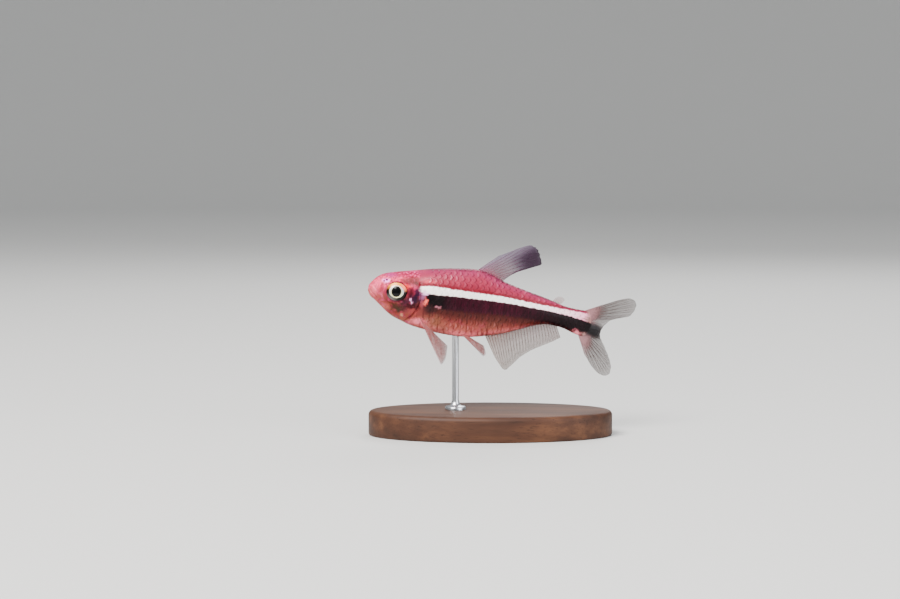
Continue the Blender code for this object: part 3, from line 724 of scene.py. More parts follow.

# %% [markdown]
# The head and the two ends of the stripe carry small spots: red blotches over the nape, the dark
# gill chamber showing through its cover, and silver flecks on the cheek whose shine is painted in.
# Some rows are painted highlights instead: a lilac gleam at the nostrils, a pink one at the breast
# fin's foot, a few sparkles, and a pale line along the belly's lower edge. Each is one row in a
# table, a soft oval on the chart with its colour, and a loop lays them down from the first to the
# last.

# %% Small spots and painted highlights
SPOTS_AND_HIGHLIGHTS = (
    # share, height, half length, half height, strength, colour
    (0.030, -0.010, 0.016, 0.020, 0.50, (246, 164, 182)),
    (0.047, 0.030, 0.020, 0.014, 0.40, (250, 150, 186)),
    (0.066, 0.006, 0.007, 0.022, 0.50, (170, 74, 110)),
    (0.086, -0.010, 0.007, 0.022, 0.45, (176, 92, 122)),
    # painted highlight: a lilac gleam over the nostrils
    (0.079, 0.040, 0.015, 0.011, 0.90, (255, 190, 248)),
    (0.100, 0.068, 0.028, 0.010, 0.50, (206, 116, 184)),
    (0.150, 0.058, 0.030, 0.010, 0.50, (250, 132, 160)),
    (0.180, 0.050, 0.030, 0.018, 0.90, (158, 34, 76)),
    (0.205, 0.052, 0.028, 0.020, 0.90, (148, 24, 62)),
    (0.219, 0.042, 0.014, 0.012, 0.70, (124, 20, 50)),
    (0.178, 0.024, 0.020, 0.009, 0.85, (252, 106, 100)),
    (0.207, 0.022, 0.016, 0.014, 0.75, (206, 80, 140)),
    (0.199, -0.001, 0.018, 0.022, 0.85, (112, 30, 60)),
    (0.176, 0.008, 0.010, 0.016, 0.70, (70, 20, 24)),
    (0.228, 0.002, 0.013, 0.022, 0.90, (96, 46, 90)),
    (0.220, -0.028, 0.018, 0.026, 0.90, (78, 44, 84)),
    (0.180, -0.042, 0.022, 0.014, 0.85, (70, 48, 62)),
    (0.177, -0.064, 0.020, 0.022, 0.80, (126, 72, 92)),
    # these two rows: silver flecks of the cheek, their shine painted in as pale colour, a painted highlight
    (0.200, -0.029, 0.005, 0.007, 0.95, (232, 190, 216)),
    (0.209, -0.043, 0.005, 0.008, 1.00, (250, 222, 244)),
    (0.215, -0.060, 0.026, 0.014, 0.95, (92, 30, 46)),
    (0.236, -0.062, 0.012, 0.014, 0.80, (108, 26, 48)),
    (0.221, -0.080, 0.026, 0.014, 0.80, (184, 112, 112)),
    (0.110, -0.056, 0.020, 0.011, 0.75, (128, 72, 44)),
    (0.146, -0.072, 0.028, 0.018, 0.80, (104, 82, 68)),
    (0.151, -0.083, 0.012, 0.010, 0.50, (92, 96, 80)),
    (0.128, -0.098, 0.030, 0.010, 0.60, (164, 92, 88)),
    (0.096, -0.070, 0.018, 0.014, 0.50, (220, 150, 146)),
    (0.171, -0.103, 0.008, 0.006, 0.85, (214, 178, 158)),
    # painted highlight: a pink gleam at the breast fin's foot
    (0.254, -0.120, 0.036, 0.013, 0.90, (255, 172, 188)),
    (0.258, -0.072, 0.022, 0.024, 0.60, (146, 90, 90)),
    (0.252, -0.010, 0.012, 0.024, 0.85, (172, 134, 164)),
    (0.251, -0.044, 0.009, 0.018, 0.75, (178, 110, 120)),
    (0.264, 0.006, 0.016, 0.009, 0.90, (250, 222, 244)),
    (0.269, -0.031, 0.010, 0.014, 0.95, (255, 158, 146)),
    (0.290, -0.058, 0.022, 0.022, 0.75, (76, 32, 44)),
    # painted highlight: a few sparkles on the flank behind the head
    (0.327, -0.047, 0.016, 0.006, 0.60, (232, 180, 190)),
    (0.272, 0.062, 0.034, 0.008, 0.50, (240, 128, 142)),
    (0.312, -0.112, 0.036, 0.026, 0.45, (164, 136, 106)),
    # painted highlight: a pale line along the belly's lower edge
    (0.455, -0.150, 0.070, 0.010, 0.75, (255, 172, 180)),
    (0.968, -0.051, 0.020, 0.012, 0.90, (255, 184, 194)),
)
pushed = paint.value(
    "TexNoise", {"Vector": place, "Scale": 60.0, "Detail": 5.0, "Roughness": 0.66}, output="Color"
)
push_right, push_up, _ = pushed.parts()
spot_across, spot_height = across + push_right * 0.032 - 0.016, height + push_up * 0.032 - 0.016


def oval(right, over, half_length, half_height):
    """How far out of an oval a point lies: 1 on its rim."""
    right, over = right / half_length, over / half_height
    return paint.sum("SQRT", right ** 2.0 + over ** 2.0)


# Real spots and painted highlights are laid down alike.
for share_at, height_at, half_length, half_height, strength, spot_and_highlight_colour in SPOTS_AND_HIGHLIGHTS:
    away = oval(spot_across - share_at, spot_height - height_at, half_length, half_height)
    ragged = away + edge_noise * 1.8 - 0.9
    colour = paint.blend(ragged.ease(1.7, 0.25, 0.0, strength), colour, spot_and_highlight_colour)
for share_at, height_at, radius in NOSTRILS:
    away = oval(across - share_at, height - height_at, radius / LENGTH, radius / LENGTH * 0.8)
    colour = paint.blend(away.ease(1.0, 0.7, 0.0, 0.8), colour, (96, 34, 60))
print(len(SPOTS_AND_HIGHLIGHTS), "spots laid on")

# %% [markdown]
# Each scale has a fine dark rim of pigment grains and a silver centre, whose shine is painted in as
# a pale glint, a painted highlight. The scales carry a second note, lap, with how far back on the
# scale a corner lies, how far aside, and a number of its own.
# The skin has no such note and reads it as nought, so the same net serves both. Pigment grains
# are colour alone, and pores and growth rings are shallow enough to be left to the bump.

# %% Scale rims, grain and gloss
lap = paint.note("lap")
back, aside, own = lap.parts()
round_back = back + aside ** 2.0 * 0.25
off_stripe = 1.0 - stripe
rim = round_back.ease(0.78, 1.0) * off_stripe
# painted highlight: a pale glint across the middle of each scale, for the shine of its silver
glint = back.ease(0.45, 0.68) * back.ease(0.92, 0.74) * (1.0 - brown * 0.85)
# Guanine flecks on back and head, their sparkle painted in as bright dots: painted highlights.
flecks_and_sparkle = paint.dots(place, 190).ease(0.30, 0.04) * mottle.ease(0.42, 0.60) * off_stripe
flecks_and_sparkle = flecks_and_sparkle * raised.ease(0.05, 0.45, 0.1, 1.0) * rough_start.ease(0.30, 0.20, 0.22, 0.55)
grains = paint.dots(place, 620).ease(0.3, 0.12) * raised.ease(-0.3, 0.5, 0.1, 0.45) * off_stripe
fringe = paint.noise(place, 40, 2.0, stretch=(0.3, 1.0, 4.0))
root_edge = across + fringe * 0.07 - 0.035
colour = paint.coats(
    colour,
    (rim * 0.18, (88, 26, 42)),
    (glint * own.ease(0.3, 1.0, 0.02, 0.16), (255, 204, 214)),
    (flecks_and_sparkle, (255, 186, 212)),
    (grains, (70, 24, 40)),
    (root_edge.ease(0.98, 1.012), paint.blend(band, (196, 164, 162), (58, 28, 42))),
)
paint.set("Base Color", paint.value("Gamma", {"Color": colour, "Gamma": 1.85}))
paint.set("Metallic", stripe * 0.1 + 0.1)
on_head = rough_start.ease(0.27, 0.20)
paint.set("Coat Weight", 0.17 - paint.sum("MAXIMUM", band, on_head) * 0.11)
paint.set("Roughness", mottle.ease(0.3, 0.7, 0.3, 0.42) + band * 0.06 + on_head * 0.12)
fine_grain = paint.noise(place, 900, 2.0)
rings = paint.value(
    "TexWave", {"Vector": paint.vector(back, 0.0, 0.0), "Scale": 3.2, "Distortion": 0.0}, output="Fac"
)
relief = fine_grain * 0.6 + rings * back.ease(0.2, 0.4, 0.0, 0.25)
paint.set("Normal", paint.bump(relief, 0.012 * MM))

show("skin", skin, skin_finish, "skin", "head", "lower_jaw", "torso", "tail")

# %% [markdown]
# ## Joining many copies
#
# Scales and fin rays come in hundreds. As separate objects they would be slow and hard to
# handle, so each kind is drawn once as a small closed template, and its copies are laid out as
# arrays of corners that share the template's faces.

# %% Helpers for joined copies
def template(bm):
    """The corners and faces of a small bmesh, which is then done with."""
    points = np.array([v.co for v in bm.verts])
    bm.verts.index_update()
    faces = [[v.index for v in f.verts] for f in bm.faces]
    bm.free()
    return points, faces


def joined(name, parts):
    """One mesh of many (corners, faces) parts."""
    faces, start = [], 0
    for points, part_faces in parts:
        faces += [[start + i for i in face] for face in part_faces]
        start += len(points)
    mesh = bpy.data.meshes.new(name + "_parts")
    mesh.from_pydata(np.concatenate([points for points, _ in parts]).tolist(), [], faces)
    bm = bmesh.new()
    bm.from_mesh(mesh)
    bpy.data.meshes.remove(mesh)
    return mesh_from(bm, name)


# %% [markdown]
# ## The scales
#
# A tetra has a little over thirty scales in a row from the gill opening to the tail fin. They lie
# like roof tiles: the front is set in the skin, the rounded rear edge stands up by a few
# hundredths of a millimetre. A bump could fake them, but real plates catch the light along their
# edges from every side. The rows run at even distances above and below the middle of the flank,
# counted along the skin, and every second row is shifted by half a scale.

# %% A ruler that runs round the body
SHARES = np.linspace(0, TAIL_END, 220)
TURNS = np.linspace(0, math.pi, 181)
FOLDS = np.linspace(-1, 1, 81)
mid_turn = len(TURNS) // 2
reach_up, reach_down, turn_rows = [], [], []
for at_share in SHARES:
    girth_points = body(at_share + 0 * TURNS, TURNS)
    run = np.concatenate(([0], np.cumsum(np.linalg.norm(np.diff(girth_points, axis=0), axis=1))))
    above_middle = run[mid_turn] - run
    up, down = run[mid_turn], run[-1] - run[mid_turn]
    reach_up.append(up)
    reach_down.append(down)
    fold = above_middle / np.where(above_middle > 0, up, max(down, 1e-9))
    turn_rows.append(np.interp(FOLDS, fold[::-1], TURNS[::-1]))
turn_rows = np.array(turn_rows)


def reach_of(share, arc):
    """How far it is along the skin from the middle of the flank to the ridge on arc's side."""
    return np.where(arc > 0, np.interp(share, SHARES, reach_up), np.interp(share, SHARES, reach_down))


def turn_at(share, arc):
    """The turn that lies an arc above the middle of the right flank, past the ridges too."""
    fold = arc / reach_of(share, arc)
    over, under = fold > 1, fold < -1
    fold = np.where(over, 2 - fold, np.where(under, -2 - fold, fold))
    row = np.interp(share, SHARES, np.arange(len(SHARES)))
    column = (fold + 1) / 2 * (len(FOLDS) - 1)
    i = np.clip(row.astype(int), 0, len(SHARES) - 2)
    j = np.clip(column.astype(int), 0, len(FOLDS) - 2)
    u, v = row - i, column - j
    low = turn_rows[i, j] * (1 - v) + turn_rows[i, j + 1] * v
    high = turn_rows[i + 1, j] * (1 - v) + turn_rows[i + 1, j + 1] * v
    turn = low * (1 - u) + high * u
    return np.where(over, -turn, np.where(under, 2 * math.pi - turn, turn))


def over_skin(share, turn, lift):
    """Points at a lift above the straight skin, head relief included."""
    here = body(share, turn)
    out = np.cross(body(share + 0.002, turn) - here, body(share, turn + 0.02) - here)
    out /= np.linalg.norm(out, axis=1)[:, None]
    return here + out * (lift + head_relief(here))[:, None]


print(f"the back's ridge is {reach_of(0.4, 1) / MM:.1f} mm up the skin from mid-flank")

# %% [markdown]
# The scale itself is a small square plate, divided, thickened, and then drawn to a shield with a
# rounded rear edge. Its map for baking is a tiny patch at the place of its root on the unrolled
# skin, so that a baked picture gives every scale its own spot.

# %% Shape one scale
COLUMN_PITCH = 0.82 * MM
ROW_PITCH = ((0.2, 0.45, 0.75, 0.88, 1.0), (0.80, 0.88, 0.66, 0.55, 0.50))
SCALE_LENGTH, SCALE_HALF_WIDTH = 1.60, 0.64
SCALE_RISE, SCALE_SUNK, SCALE_THICKNESS = 0.021 * MM, 0.040 * MM, 0.020 * MM
BAKE_PATCH = 0.003
ROWS, COLUMNS = range(-9, 10), range(-2, 40)
FIRST_SHARE, NAPE_SHARE, NAPE_HEIGHT = 0.205, 0.236, 0.055
BARE_STRIP, RIDGE_STRIP = 0.50 * MM, 0.50

bm = bmesh.new()
bmesh.ops.create_grid(bm, x_segments=7, y_segments=8, size=1)
bmesh.ops.solidify(bm, geom=bm.faces[:], thickness=1)
plate, plate_faces = template(bm)
plate[:, 2] -= plate[:, 2].max()
rear = (plate[:, 0] + 1) / 2
wide = plate[:, 1]
shield_x = rear - 0.42 * wide**2 * rear**2
shield_y = wide * (0.88 + 0.12 * np.sin(math.pi * rear))
shield_lift = -SCALE_SUNK + (SCALE_SUNK + SCALE_RISE) * rear - 0.006 * MM * wide**2
shield_lift = shield_lift + plate[:, 2] * SCALE_THICKNESS
print("a scale has", len(plate_faces), "faces")

# %% [markdown]
# A scale is laid by carrying its plate over the skin: along the fish, round it, and a little out.
# Each one is turned and sized by chance within a few hundredths, as no two are alike. The chance
# has a fixed start, so that every run lays the same coat.

# %% Lay one scale
chance = np.random.default_rng(7)


def lay_scale(share, arc, pitch, side):
    """One scale's corners, its note for the finish and its patch of the bake map."""
    size = chance.uniform(0.96, 1.05)
    tilt = chance.uniform(-0.05, 0.05)
    shares = share + shield_x * SCALE_LENGTH * size * COLUMN_PITCH / LENGTH
    arcs = arc + (shield_y * SCALE_HALF_WIDTH * size + tilt * shield_x) * pitch
    turns = turn_at(shares, arcs)
    points = over_skin(shares, turns, shield_lift * chance.uniform(0.9, 1.15))
    points[:, 1] *= side
    lap = np.stack((rear, wide, np.full(len(rear), chance.random())), axis=1)
    root_turn = float(turn_at(share, arc)) * side
    patch = np.stack((rear, (wide + 1) / 2), axis=1) * BAKE_PATCH
    return points, lap, patch + (share * 0.95, (root_turn / (2 * math.pi)) % 1 * 0.99)


def may_carry_scale(share, arc):
    """Scales begin behind the gill cover and end on the tail fin's root."""
    spot = body(share, turn_at(share, arc))[None]
    height = spot[0, 2] / LENGTH
    behind_gill = from_line(GILL_EDGE, spot)[0] > BARE_STRIP
    behind = behind_gill if height < NAPE_HEIGHT else share > NAPE_SHARE
    return behind and share < 0.975 + 0.25 * (0.05 - abs(height)) * (height > -0.05)


print("a scale may lie at mid-flank:", bool(may_carry_scale(0.5, 1e-6)))

# %% [markdown]
# Row by row the scales fill one flank, then the other. The ridges above and below get a single
# row each, which closes the coat where the two sides meet.

# %% Lay the scales in rows
def lay_rows(side, rows, ridge=0):
    """Rows of scales on one flank, or the single row on a ridge, above or below."""
    laid = []
    for row in rows:
        shift = (row % 2) / 2
        for column in COLUMNS:
            share = FIRST_SHARE + (column + shift) * COLUMN_PITCH / LENGTH
            if share >= 1:
                continue
            pitch = float(np.interp(share, *ROW_PITCH)) * MM
            arc = row * pitch
            if ridge:
                arc = ridge * float(reach_of(share, ridge))
            elif abs(arc) > reach_of(share, arc if arc else 1.0) - RIDGE_STRIP * pitch:
                continue
            if may_carry_scale(share, arc):
                laid.append(lay_scale(share, arc, pitch, side))
    return laid


def scale_coat(name, laid):
    mesh = joined(name, [(points, plate_faces) for points, _, _ in laid])
    note(mesh, "lap", np.concatenate([lap for _, lap, _ in laid]))
    patches = np.concatenate([patch for _, _, patch in laid])
    corner = np.empty(len(mesh.loops), np.int32)
    mesh.loops.foreach_get("vertex_index", corner)
    mesh.uv_layers.new(name="OFBake").data.foreach_set("uv", patches[corner].astype(np.float32).ravel())
    put_in_pose(mesh)
    print(name, "has", len(laid), "scales")
    show(name, mesh, skin_finish, "skin")


scale_coat("scales_left", lay_rows(-1, ROWS))
scale_coat("scales_right", lay_rows(1, ROWS))
scale_coat("scales_ridges", lay_rows(1, [1], ridge=1) + lay_rows(1, [1], ridge=-1))

# %% [markdown]
# ## The eyes
#
# The eye is large, nearly a tenth of the body. A black pupil sits in a silver iris, a dark ring
# with a golden upper arc surrounds that, and a clear bulging cornea covers all. It is turned as
# one lens shape from a half profile, smooth outside for the wet gloss. The iris gets its fine
# threads and its slope towards the pupil by a bump below the gloss.

# %% Colours of the eye
paint = eye_finish = Finish(
    "fish_eye", Roughness=0.30, IOR=1.34, Specular_IOR_Level=0.1, Coat_Weight=0.32, Coat_Roughness=0.015
)
eye_right, eye_up, _ = paint.note("round").parts()
tall = paint.vector(eye_right / 0.69, eye_up / 0.77, 0.0)
wide = paint.vector(eye_right / 1.03, eye_up / 0.89, 0.0)
from_pupil, from_iris = [
    paint.value("VectorMath", {0: oval_place}, "Value", operation="LENGTH") for oval_place in (tall, wide)
]
bearing = paint.sum("ARCTAN2", eye_up, eye_right)
threads = paint.noise(paint.vector(bearing, from_pupil * 0.16, 0.0), 14, 3.0)
ragged = from_iris + threads * 0.1 - 0.05
iris = paint.blend(eye_up.ease(-0.9, 0.9), (228, 236, 190), (246, 232, 250))
iris = paint.blend(threads.ease(0.35, 0.65, 0.0, 0.3), iris, (170, 158, 140))
gold = eye_up.ease(0.0, 0.95) * threads.ease(0.25, 0.6, 0.75, 1.0)
ashen = eye_right.ease(0.5, -0.6) * eye_up.ease(-0.3, -1.1)
salmon = eye_right.ease(0.2, 0.9) * eye_up.ease(0.05, 0.7)
outer = paint.coats(
    (18, 8, 8),
    (gold, (240, 150, 48)),
    (ashen * 0.55, (120, 112, 108)),
    (salmon, (250, 124, 92)),
    (ragged.ease(1.4, 1.5), (96, 20, 44)),
)
inner_ring = abs(from_pupil - 1.07).ease(0.09, 0.02, 0.0, 0.6)
eye_colour = paint.coats(
    iris,
    (ragged.ease(0.95, 1.05), outer),
    (inner_ring, (240, 220, 140)),
    (from_pupil.ease(1.05, 0.98), (2, 2, 3)),
)
paint.set("Base Color", eye_colour)
shine = ragged.ease(1.15, 0.9, 0.1, 0.6)
paint.set("Metallic", from_pupil.ease(1.0, 1.08) * shine)
slope = (from_pupil * 0.66 / 1.6).follow(
    ((0.0, 0.1), (0.41, 0.1), (0.45, 0.42), (0.68, 0.66), (0.74, 0.5), (1.0, 0.6))
)
slope = slope + threads * from_pupil.ease(1.03, 1.15, 0.0, 0.12)
paint.set("Normal", paint.bump(slope, 0.15 * MM, 0.8))
print("the eye's net has", len(paint.nodes), "nodes")

# %% [markdown]
# The lens shape is a profile turned once round its axis. Both eyes share it. The left one is
# mirrored on its way to its place, which turns its faces inwards, so they are turned back.

# %% Turn the eyes
EYE_PROFILE = (
    (0.0, 0.27), (0.20, 0.262), (0.40, 0.24), (0.60, 0.20), (0.80, 0.145), (1.00, 0.075), (1.18, 0.0),
    (1.34, -0.08), (1.45, -0.17), (1.48, -0.27), (1.40, -0.42), (1.10, -0.58), (0.60, -0.68), (0.0, -0.70),
)
EYE_RINGS, EYE_SIDES = 40, 72


def turned_about_y(profile, steps):
    """A closed round shape from (radius, outward) pairs, its axis along y."""
    bm = bmesh.new()
    rim = [bm.verts.new((radius, out, 0)) for radius, out in profile]
    edges = [bm.edges.new(pair) for pair in zip(rim[:-1], rim[1:])]
    bmesh.ops.spin(
        bm, geom=rim + edges, cent=(0, 0, 0), axis=(0, 1, 0), dvec=(0, 0, 0), angle=2 * math.pi,
        steps=steps, use_merge=True, use_duplicate=False,
    )
    bmesh.ops.remove_doubles(bm, verts=bm.verts, dist=0.00001)
    return bm


radii, outs = np.array(EYE_PROFILE).T
known = np.arange(len(radii), dtype=float)
wanted = np.linspace(0, known[-1], EYE_RINGS)
fine_profile = np.stack((np.interp(wanted, known, radii), through(known, outs, wanted)), axis=1).tolist()
for name, side in (("eye_left", -1), ("eye_right", 1)):
    mesh = mesh_from(turned_about_y(fine_profile, EYE_SIDES), name)
    right, out, up = corners(mesh).T
    note(mesh, "round", np.stack((right, up, out), axis=1))
    away = side * (eye_out + out * MM + EYE_PROUD)
    straight = np.stack((eye_x + right * MM, away, eye_z + up * MM), axis=1)
    set_corners(mesh, straight)
    if side < 0:
        mesh.flip_normals()
    put_in_pose(mesh)
    show(name, mesh, eye_finish, "eye", ("left_eye", "right_eye")[side > 0])

# %% [markdown]
# ## The fins
#
# A fin is a clear skin stretched over fine bony rays. Each ray is a slim rod that forks twice
# towards the margin, where the skin between two rays draws back a little. The skin is one
# divided sheet, thickened; the rays are tubes from one template, laid along the sheet. Both take
# their places from the same two lines, the fin's foot on the body and its outer margin, which
# are the solids' own.

# %% A ray's tube and a fin's margin
FIN_SUNK = 0.55 * MM
SKIN_THICKNESS = 0.035 * MM
WAVE = 0.10 * MM

bm = bmesh.new()
bmesh.ops.create_cone(bm, cap_ends=True, segments=6, radius1=1, radius2=1, depth=1)
long_edges = [e for e in bm.edges if abs(e.verts[0].co.z - e.verts[1].co.z) > 0.5]
bmesh.ops.subdivide_edges(bm, edges=long_edges, cuts=9)
tube, tube_faces = template(bm)
tube_along = tube[:, 2] + 0.5
tube_ring = tube[:, :2]


def margin(points, a):
    """The outer edge of a fin through its named points, a from 0 to 1."""
    x, z = np.array(points).T
    where = np.linspace(0, 1, len(points))
    return np.stack((through(where, x, a), 0 * a, through(where, z, a)), axis=1) * LENGTH


print("a ray's tube has", len(tube_faces), "faces")

# %% [markdown]
# A fin keeps its two lines and its count of rays. Every point on it is named by two numbers: a,
# from the first ray at 0 to the last at 1, and v, from the foot at 0 to the margin at 1. The same
# two numbers become the note that the finish reads.

# %% A fin and its parts
class Fin:
    """A fin between the lines foot(a) and tip(a), both on the straight fish."""

    def __init__(self, foot, tip, rays, phase=0.0):
        self.foot, self.tip, self.rays, self.phase = foot, tip, rays, phase
        first, last = (self.tip(np.array([a])) - self.foot(np.array([a])) for a in (0.0, 1.0))
        normal = np.cross(last[0], first[0])
        self.normal = normal / np.linalg.norm(normal)

    def points(self, a, v):
        a, v = np.broadcast_arrays(np.asarray(a, float), np.asarray(v, float))
        foot, tip = self.foot(a), self.tip(a)
        inward = foot - tip
        foot = foot + inward / np.linalg.norm(inward, axis=1)[:, None] * FIN_SUNK
        wave = WAVE * v * np.sin(4.4 * a + 2.8 * v + self.phase)
        return foot + (tip - foot) * v[:, None] + self.normal * wave[:, None]

    def edge(self, a):
        """How far out the margin lies at a: drawn back a little between the rays."""
        between = np.sin(math.pi * a * (self.rays - 1)) ** 2
        return 1 - 0.012 * between - 0.006 * np.sin(a * 37 + self.phase) ** 2

    def sheet(self):
        """The thin skin, divided finely enough to follow the rays."""
        bm = bmesh.new()
        bmesh.ops.create_grid(bm, x_segments=(self.rays - 1) * 4, y_segments=22, size=1)
        bmesh.ops.solidify(bm, geom=bm.faces[:], thickness=1)
        points, faces = template(bm)
        a, v = (points[:, 0] + 1) / 2, (points[:, 1] + 1) / 2
        face = (points[:, 2] - points[:, 2].min()) - 0.5
        out = v * (1 - (1 - self.edge(a)) * smooth(v, 0.75, 1.0))
        thin = SKIN_THICKNESS * (1.5 - 0.9 * v)
        placed = self.points(a, out) + self.normal * (face * thin)[:, None]
        return placed, faces, np.stack((a, out, 0 * a), axis=1)

    def tube(self, a, v, radius):
        """A tube along a path on the fin, its three values given at even steps."""
        steps = np.linspace(0, 1, len(a))
        along = [np.interp(tube_along, steps, values) for values in (a, v, radius)]
        centre = self.points(along[0], along[1])
        ahead = self.points(along[0], along[1] + 0.01) - centre
        across = np.cross(self.normal, ahead)
        across /= np.linalg.norm(across, axis=1)[:, None]
        ring = across * tube_ring[:, :1] + self.normal * tube_ring[:, 1:] * 0.9
        placed = centre + ring * along[2][:, None]
        return placed, tube_faces, np.stack((along[0], along[1], 0 * along[0] + 1), axis=1)

    def ray(self, n, thick, plain):
        """One ray: a plain rod, or a stem with two branches and four twigs."""
        last = self.rays - 1
        a, gap = n / last, 1 / last
        if plain:
            return [self.tube([a, a, a], [0, 0.6, self.edge(a)], [thick, thick * 0.8, thick * 0.35])]
        parts = [self.tube([a, a], [0, 0.52], [thick, thick * 0.72])]
        inner = {0: 1, last: -1}.get(n, 0)
        for way in (-1, 1):
            lean = way * gap * (0.11 if inner else 0.22)
            shift = inner * gap * 0.11
            mid = a + lean + shift
            parts.append(self.tube(
                [a, a + (lean + shift) * 0.6, mid], [0.50, 0.64, 0.78], np.array((0.66, 0.55, 0.48)) * thick
            ))
            for fork in (-1, 1):
                twig = mid + fork * gap * 0.09
                parts.append(self.tube(
                    [mid, twig, twig], [0.77, 0.88, self.edge(twig)], np.array((0.42, 0.34, 0.20)) * thick
                ))
        return parts

    def build(self, name, finish, nodes, thick=0.050 * MM, plain=(), only_sheet=False):
        parts = [self.sheet()]
        for n in range(0 if only_sheet else self.rays):
            parts += self.ray(n, thick * (1.25 if n in plain else 1.0), n in plain)
        mesh = joined(name, [(points, faces) for points, faces, _ in parts])
        notes = np.concatenate([n for _, _, n in parts])
        notes[:, 0] = np.clip(notes[:, 0], 0, 1)
        note(mesh, "fin", notes)
        put_in_pose(mesh)
        show(name, mesh, finish, "fin", *nodes)


# %% [markdown]
# The fins are clear with a smoky tone. Their colours change from the front ray to the last one
# and from the foot to the margin, so two short lists of shades do for each fin. The rays are
# jointed, which the finish shows as light and dark steps along them, and they are denser than
# the skin between, which the see-through share follows.

# %% A finish for a clear fin
LEAST_ALPHA, MOST_ALPHA = 0.08, 0.97


def gray(value):
    return (value, value, value, 1.0)


def fin_finish(
    name, along, outward_shades, clear, ray_clear=0.35, ray_tone=(160, 118, 126), dark=None, fleshy=False
):
    made = Finish(
        name, Roughness=0.36, IOR=1.36, Specular_IOR_Level=0.25, Coat_Weight=0.12, Coat_Roughness=0.2
    )
    a, v, on_ray = made.note("fin").parts()
    spot = made.note("place")
    speckle = made.noise(spot, 160, 3.0)
    colour = made.blend(0.55, a.shades(along), v.shades(outward_shades))
    joints = made.value(
        "TexWave", {"Vector": made.vector(0.0, v, 0.0), "Scale": 9.0}, bands_direction="Y", output="Fac"
    )
    ray_colour = made.blend(joints.ease(0.3, 0.8, 0.15, 0.75), ray_tone, colour)
    colour = made.blend(on_ray * 0.6, colour, ray_colour)
    colour = made.blend(speckle.ease(0.52, 0.7, 0.0, 0.35), colour, (70, 40, 52))
    alpha = v.shades(clear, gray) + on_ray * ray_clear
    if dark:
        rear, outer, added, dark_tone = dark
        dark_share = a.ease(*rear) * v.ease(*outer)
        alpha = alpha + dark_share * added
        colour = made.blend(dark_share * 0.85, colour, dark_tone)
    if fleshy:
        spot_across, _, spot_height = spot.parts()
        off_band = abs(spot_height + 0.014)
        in_band = off_band.ease(0.042, 0.014) * spot_across.ease(1.13, 1.06)
        flesh = (speckle * 0.08 + spot_across).ease(1.115, 1.055)
        colour = made.blend(flesh * 0.55, colour, (204, 164, 168))
        colour = made.blend(in_band * 0.96, colour, (22, 4, 16))
        alpha = alpha + flesh * 0.18 + in_band * 0.6
    made.set("Base Color", made.value("Gamma", {"Color": colour, "Gamma": 1.5}))
    alpha = alpha + speckle * 0.16 - 0.08
    made.set("Alpha", made.sum("MINIMUM", made.sum("MAXIMUM", alpha, LEAST_ALPHA), MOST_ALPHA))
    made.set("Normal", made.bump(speckle, 0.01 * MM, 0.5))
    return made


print("the densest part of a fin lets", round(1 - MOST_ALPHA, 2), "of the light through")

# %% [markdown]
# Four finishes serve all nine fins. The dorsal fin is lilac and darkens towards its tip, the anal
# fin is nearly colourless, the tail fin takes up the flesh and the black band at its root, and
# the paired fins and the small adipose fin are faintly pink.

# %% The fins' four finishes
FIN_CLEAR = ((0.0, 0.90), (0.16, 0.52), (0.5, 0.38), (1.0, 0.34))
TAIL_CLEAR = ((0.0, 1.0), (0.30, 0.84), (0.5, 0.52), (1.0, 0.36))
PAIRED_CLEAR = ((0.0, 0.85), (0.25, 0.36), (0.7, 0.26), (1.0, 0.18))
dorsal_finish = fin_finish(
    "dorsal_fin_finish",
    ((0.0, 150, 118, 160), (0.25, 118, 92, 122), (0.5, 96, 66, 92), (1.0, 96, 70, 88)),
    ((0.0, 214, 120, 140), (0.2, 150, 100, 116), (0.6, 118, 92, 124), (1.0, 104, 76, 116)),
    FIN_CLEAR, dark=((0.10, 0.50), (0.35, 0.80), 0.45, (66, 34, 64)),
)
anal_finish = fin_finish(
    "anal_fin_finish",
    ((0.0, 156, 132, 116), (0.3, 128, 108, 96), (1.0, 134, 92, 92)),
    ((0.0, 186, 96, 96), (0.25, 130, 96, 88), (1.0, 138, 120, 108)),
    FIN_CLEAR, ray_tone=(120, 82, 86),
)
tail_finish = fin_finish(
    "tail_fin_finish",
    ((0.0, 92, 78, 76), (0.12, 116, 100, 94), (0.7, 100, 86, 82), (1.0, 70, 42, 50)),
    ((0.0, 178, 120, 124), (0.22, 130, 92, 94), (0.5, 104, 88, 84), (1.0, 124, 112, 108)),
    TAIL_CLEAR, ray_tone=(112, 78, 84), fleshy=True,
)
paired_finish = fin_finish(
    "paired_fin_finish",
    ((0.0, 176, 122, 120), (1.0, 158, 118, 112)),
    ((0.0, 214, 122, 124), (0.4, 172, 122, 120), (1.0, 160, 132, 132)),
    PAIRED_CLEAR, ray_clear=0.50, ray_tone=(150, 92, 100),
)
for made in (dorsal_finish, anal_finish, tail_finish, paired_finish):
    print(made.material.name, "has", len(made.nodes), "nodes")

# %% [markdown]
# Dorsal, anal and tail fin stand on the body's upper and lower line. Their first rays are short
# or unbranched, the others fork. The tail fin's two lobes part at the fork.

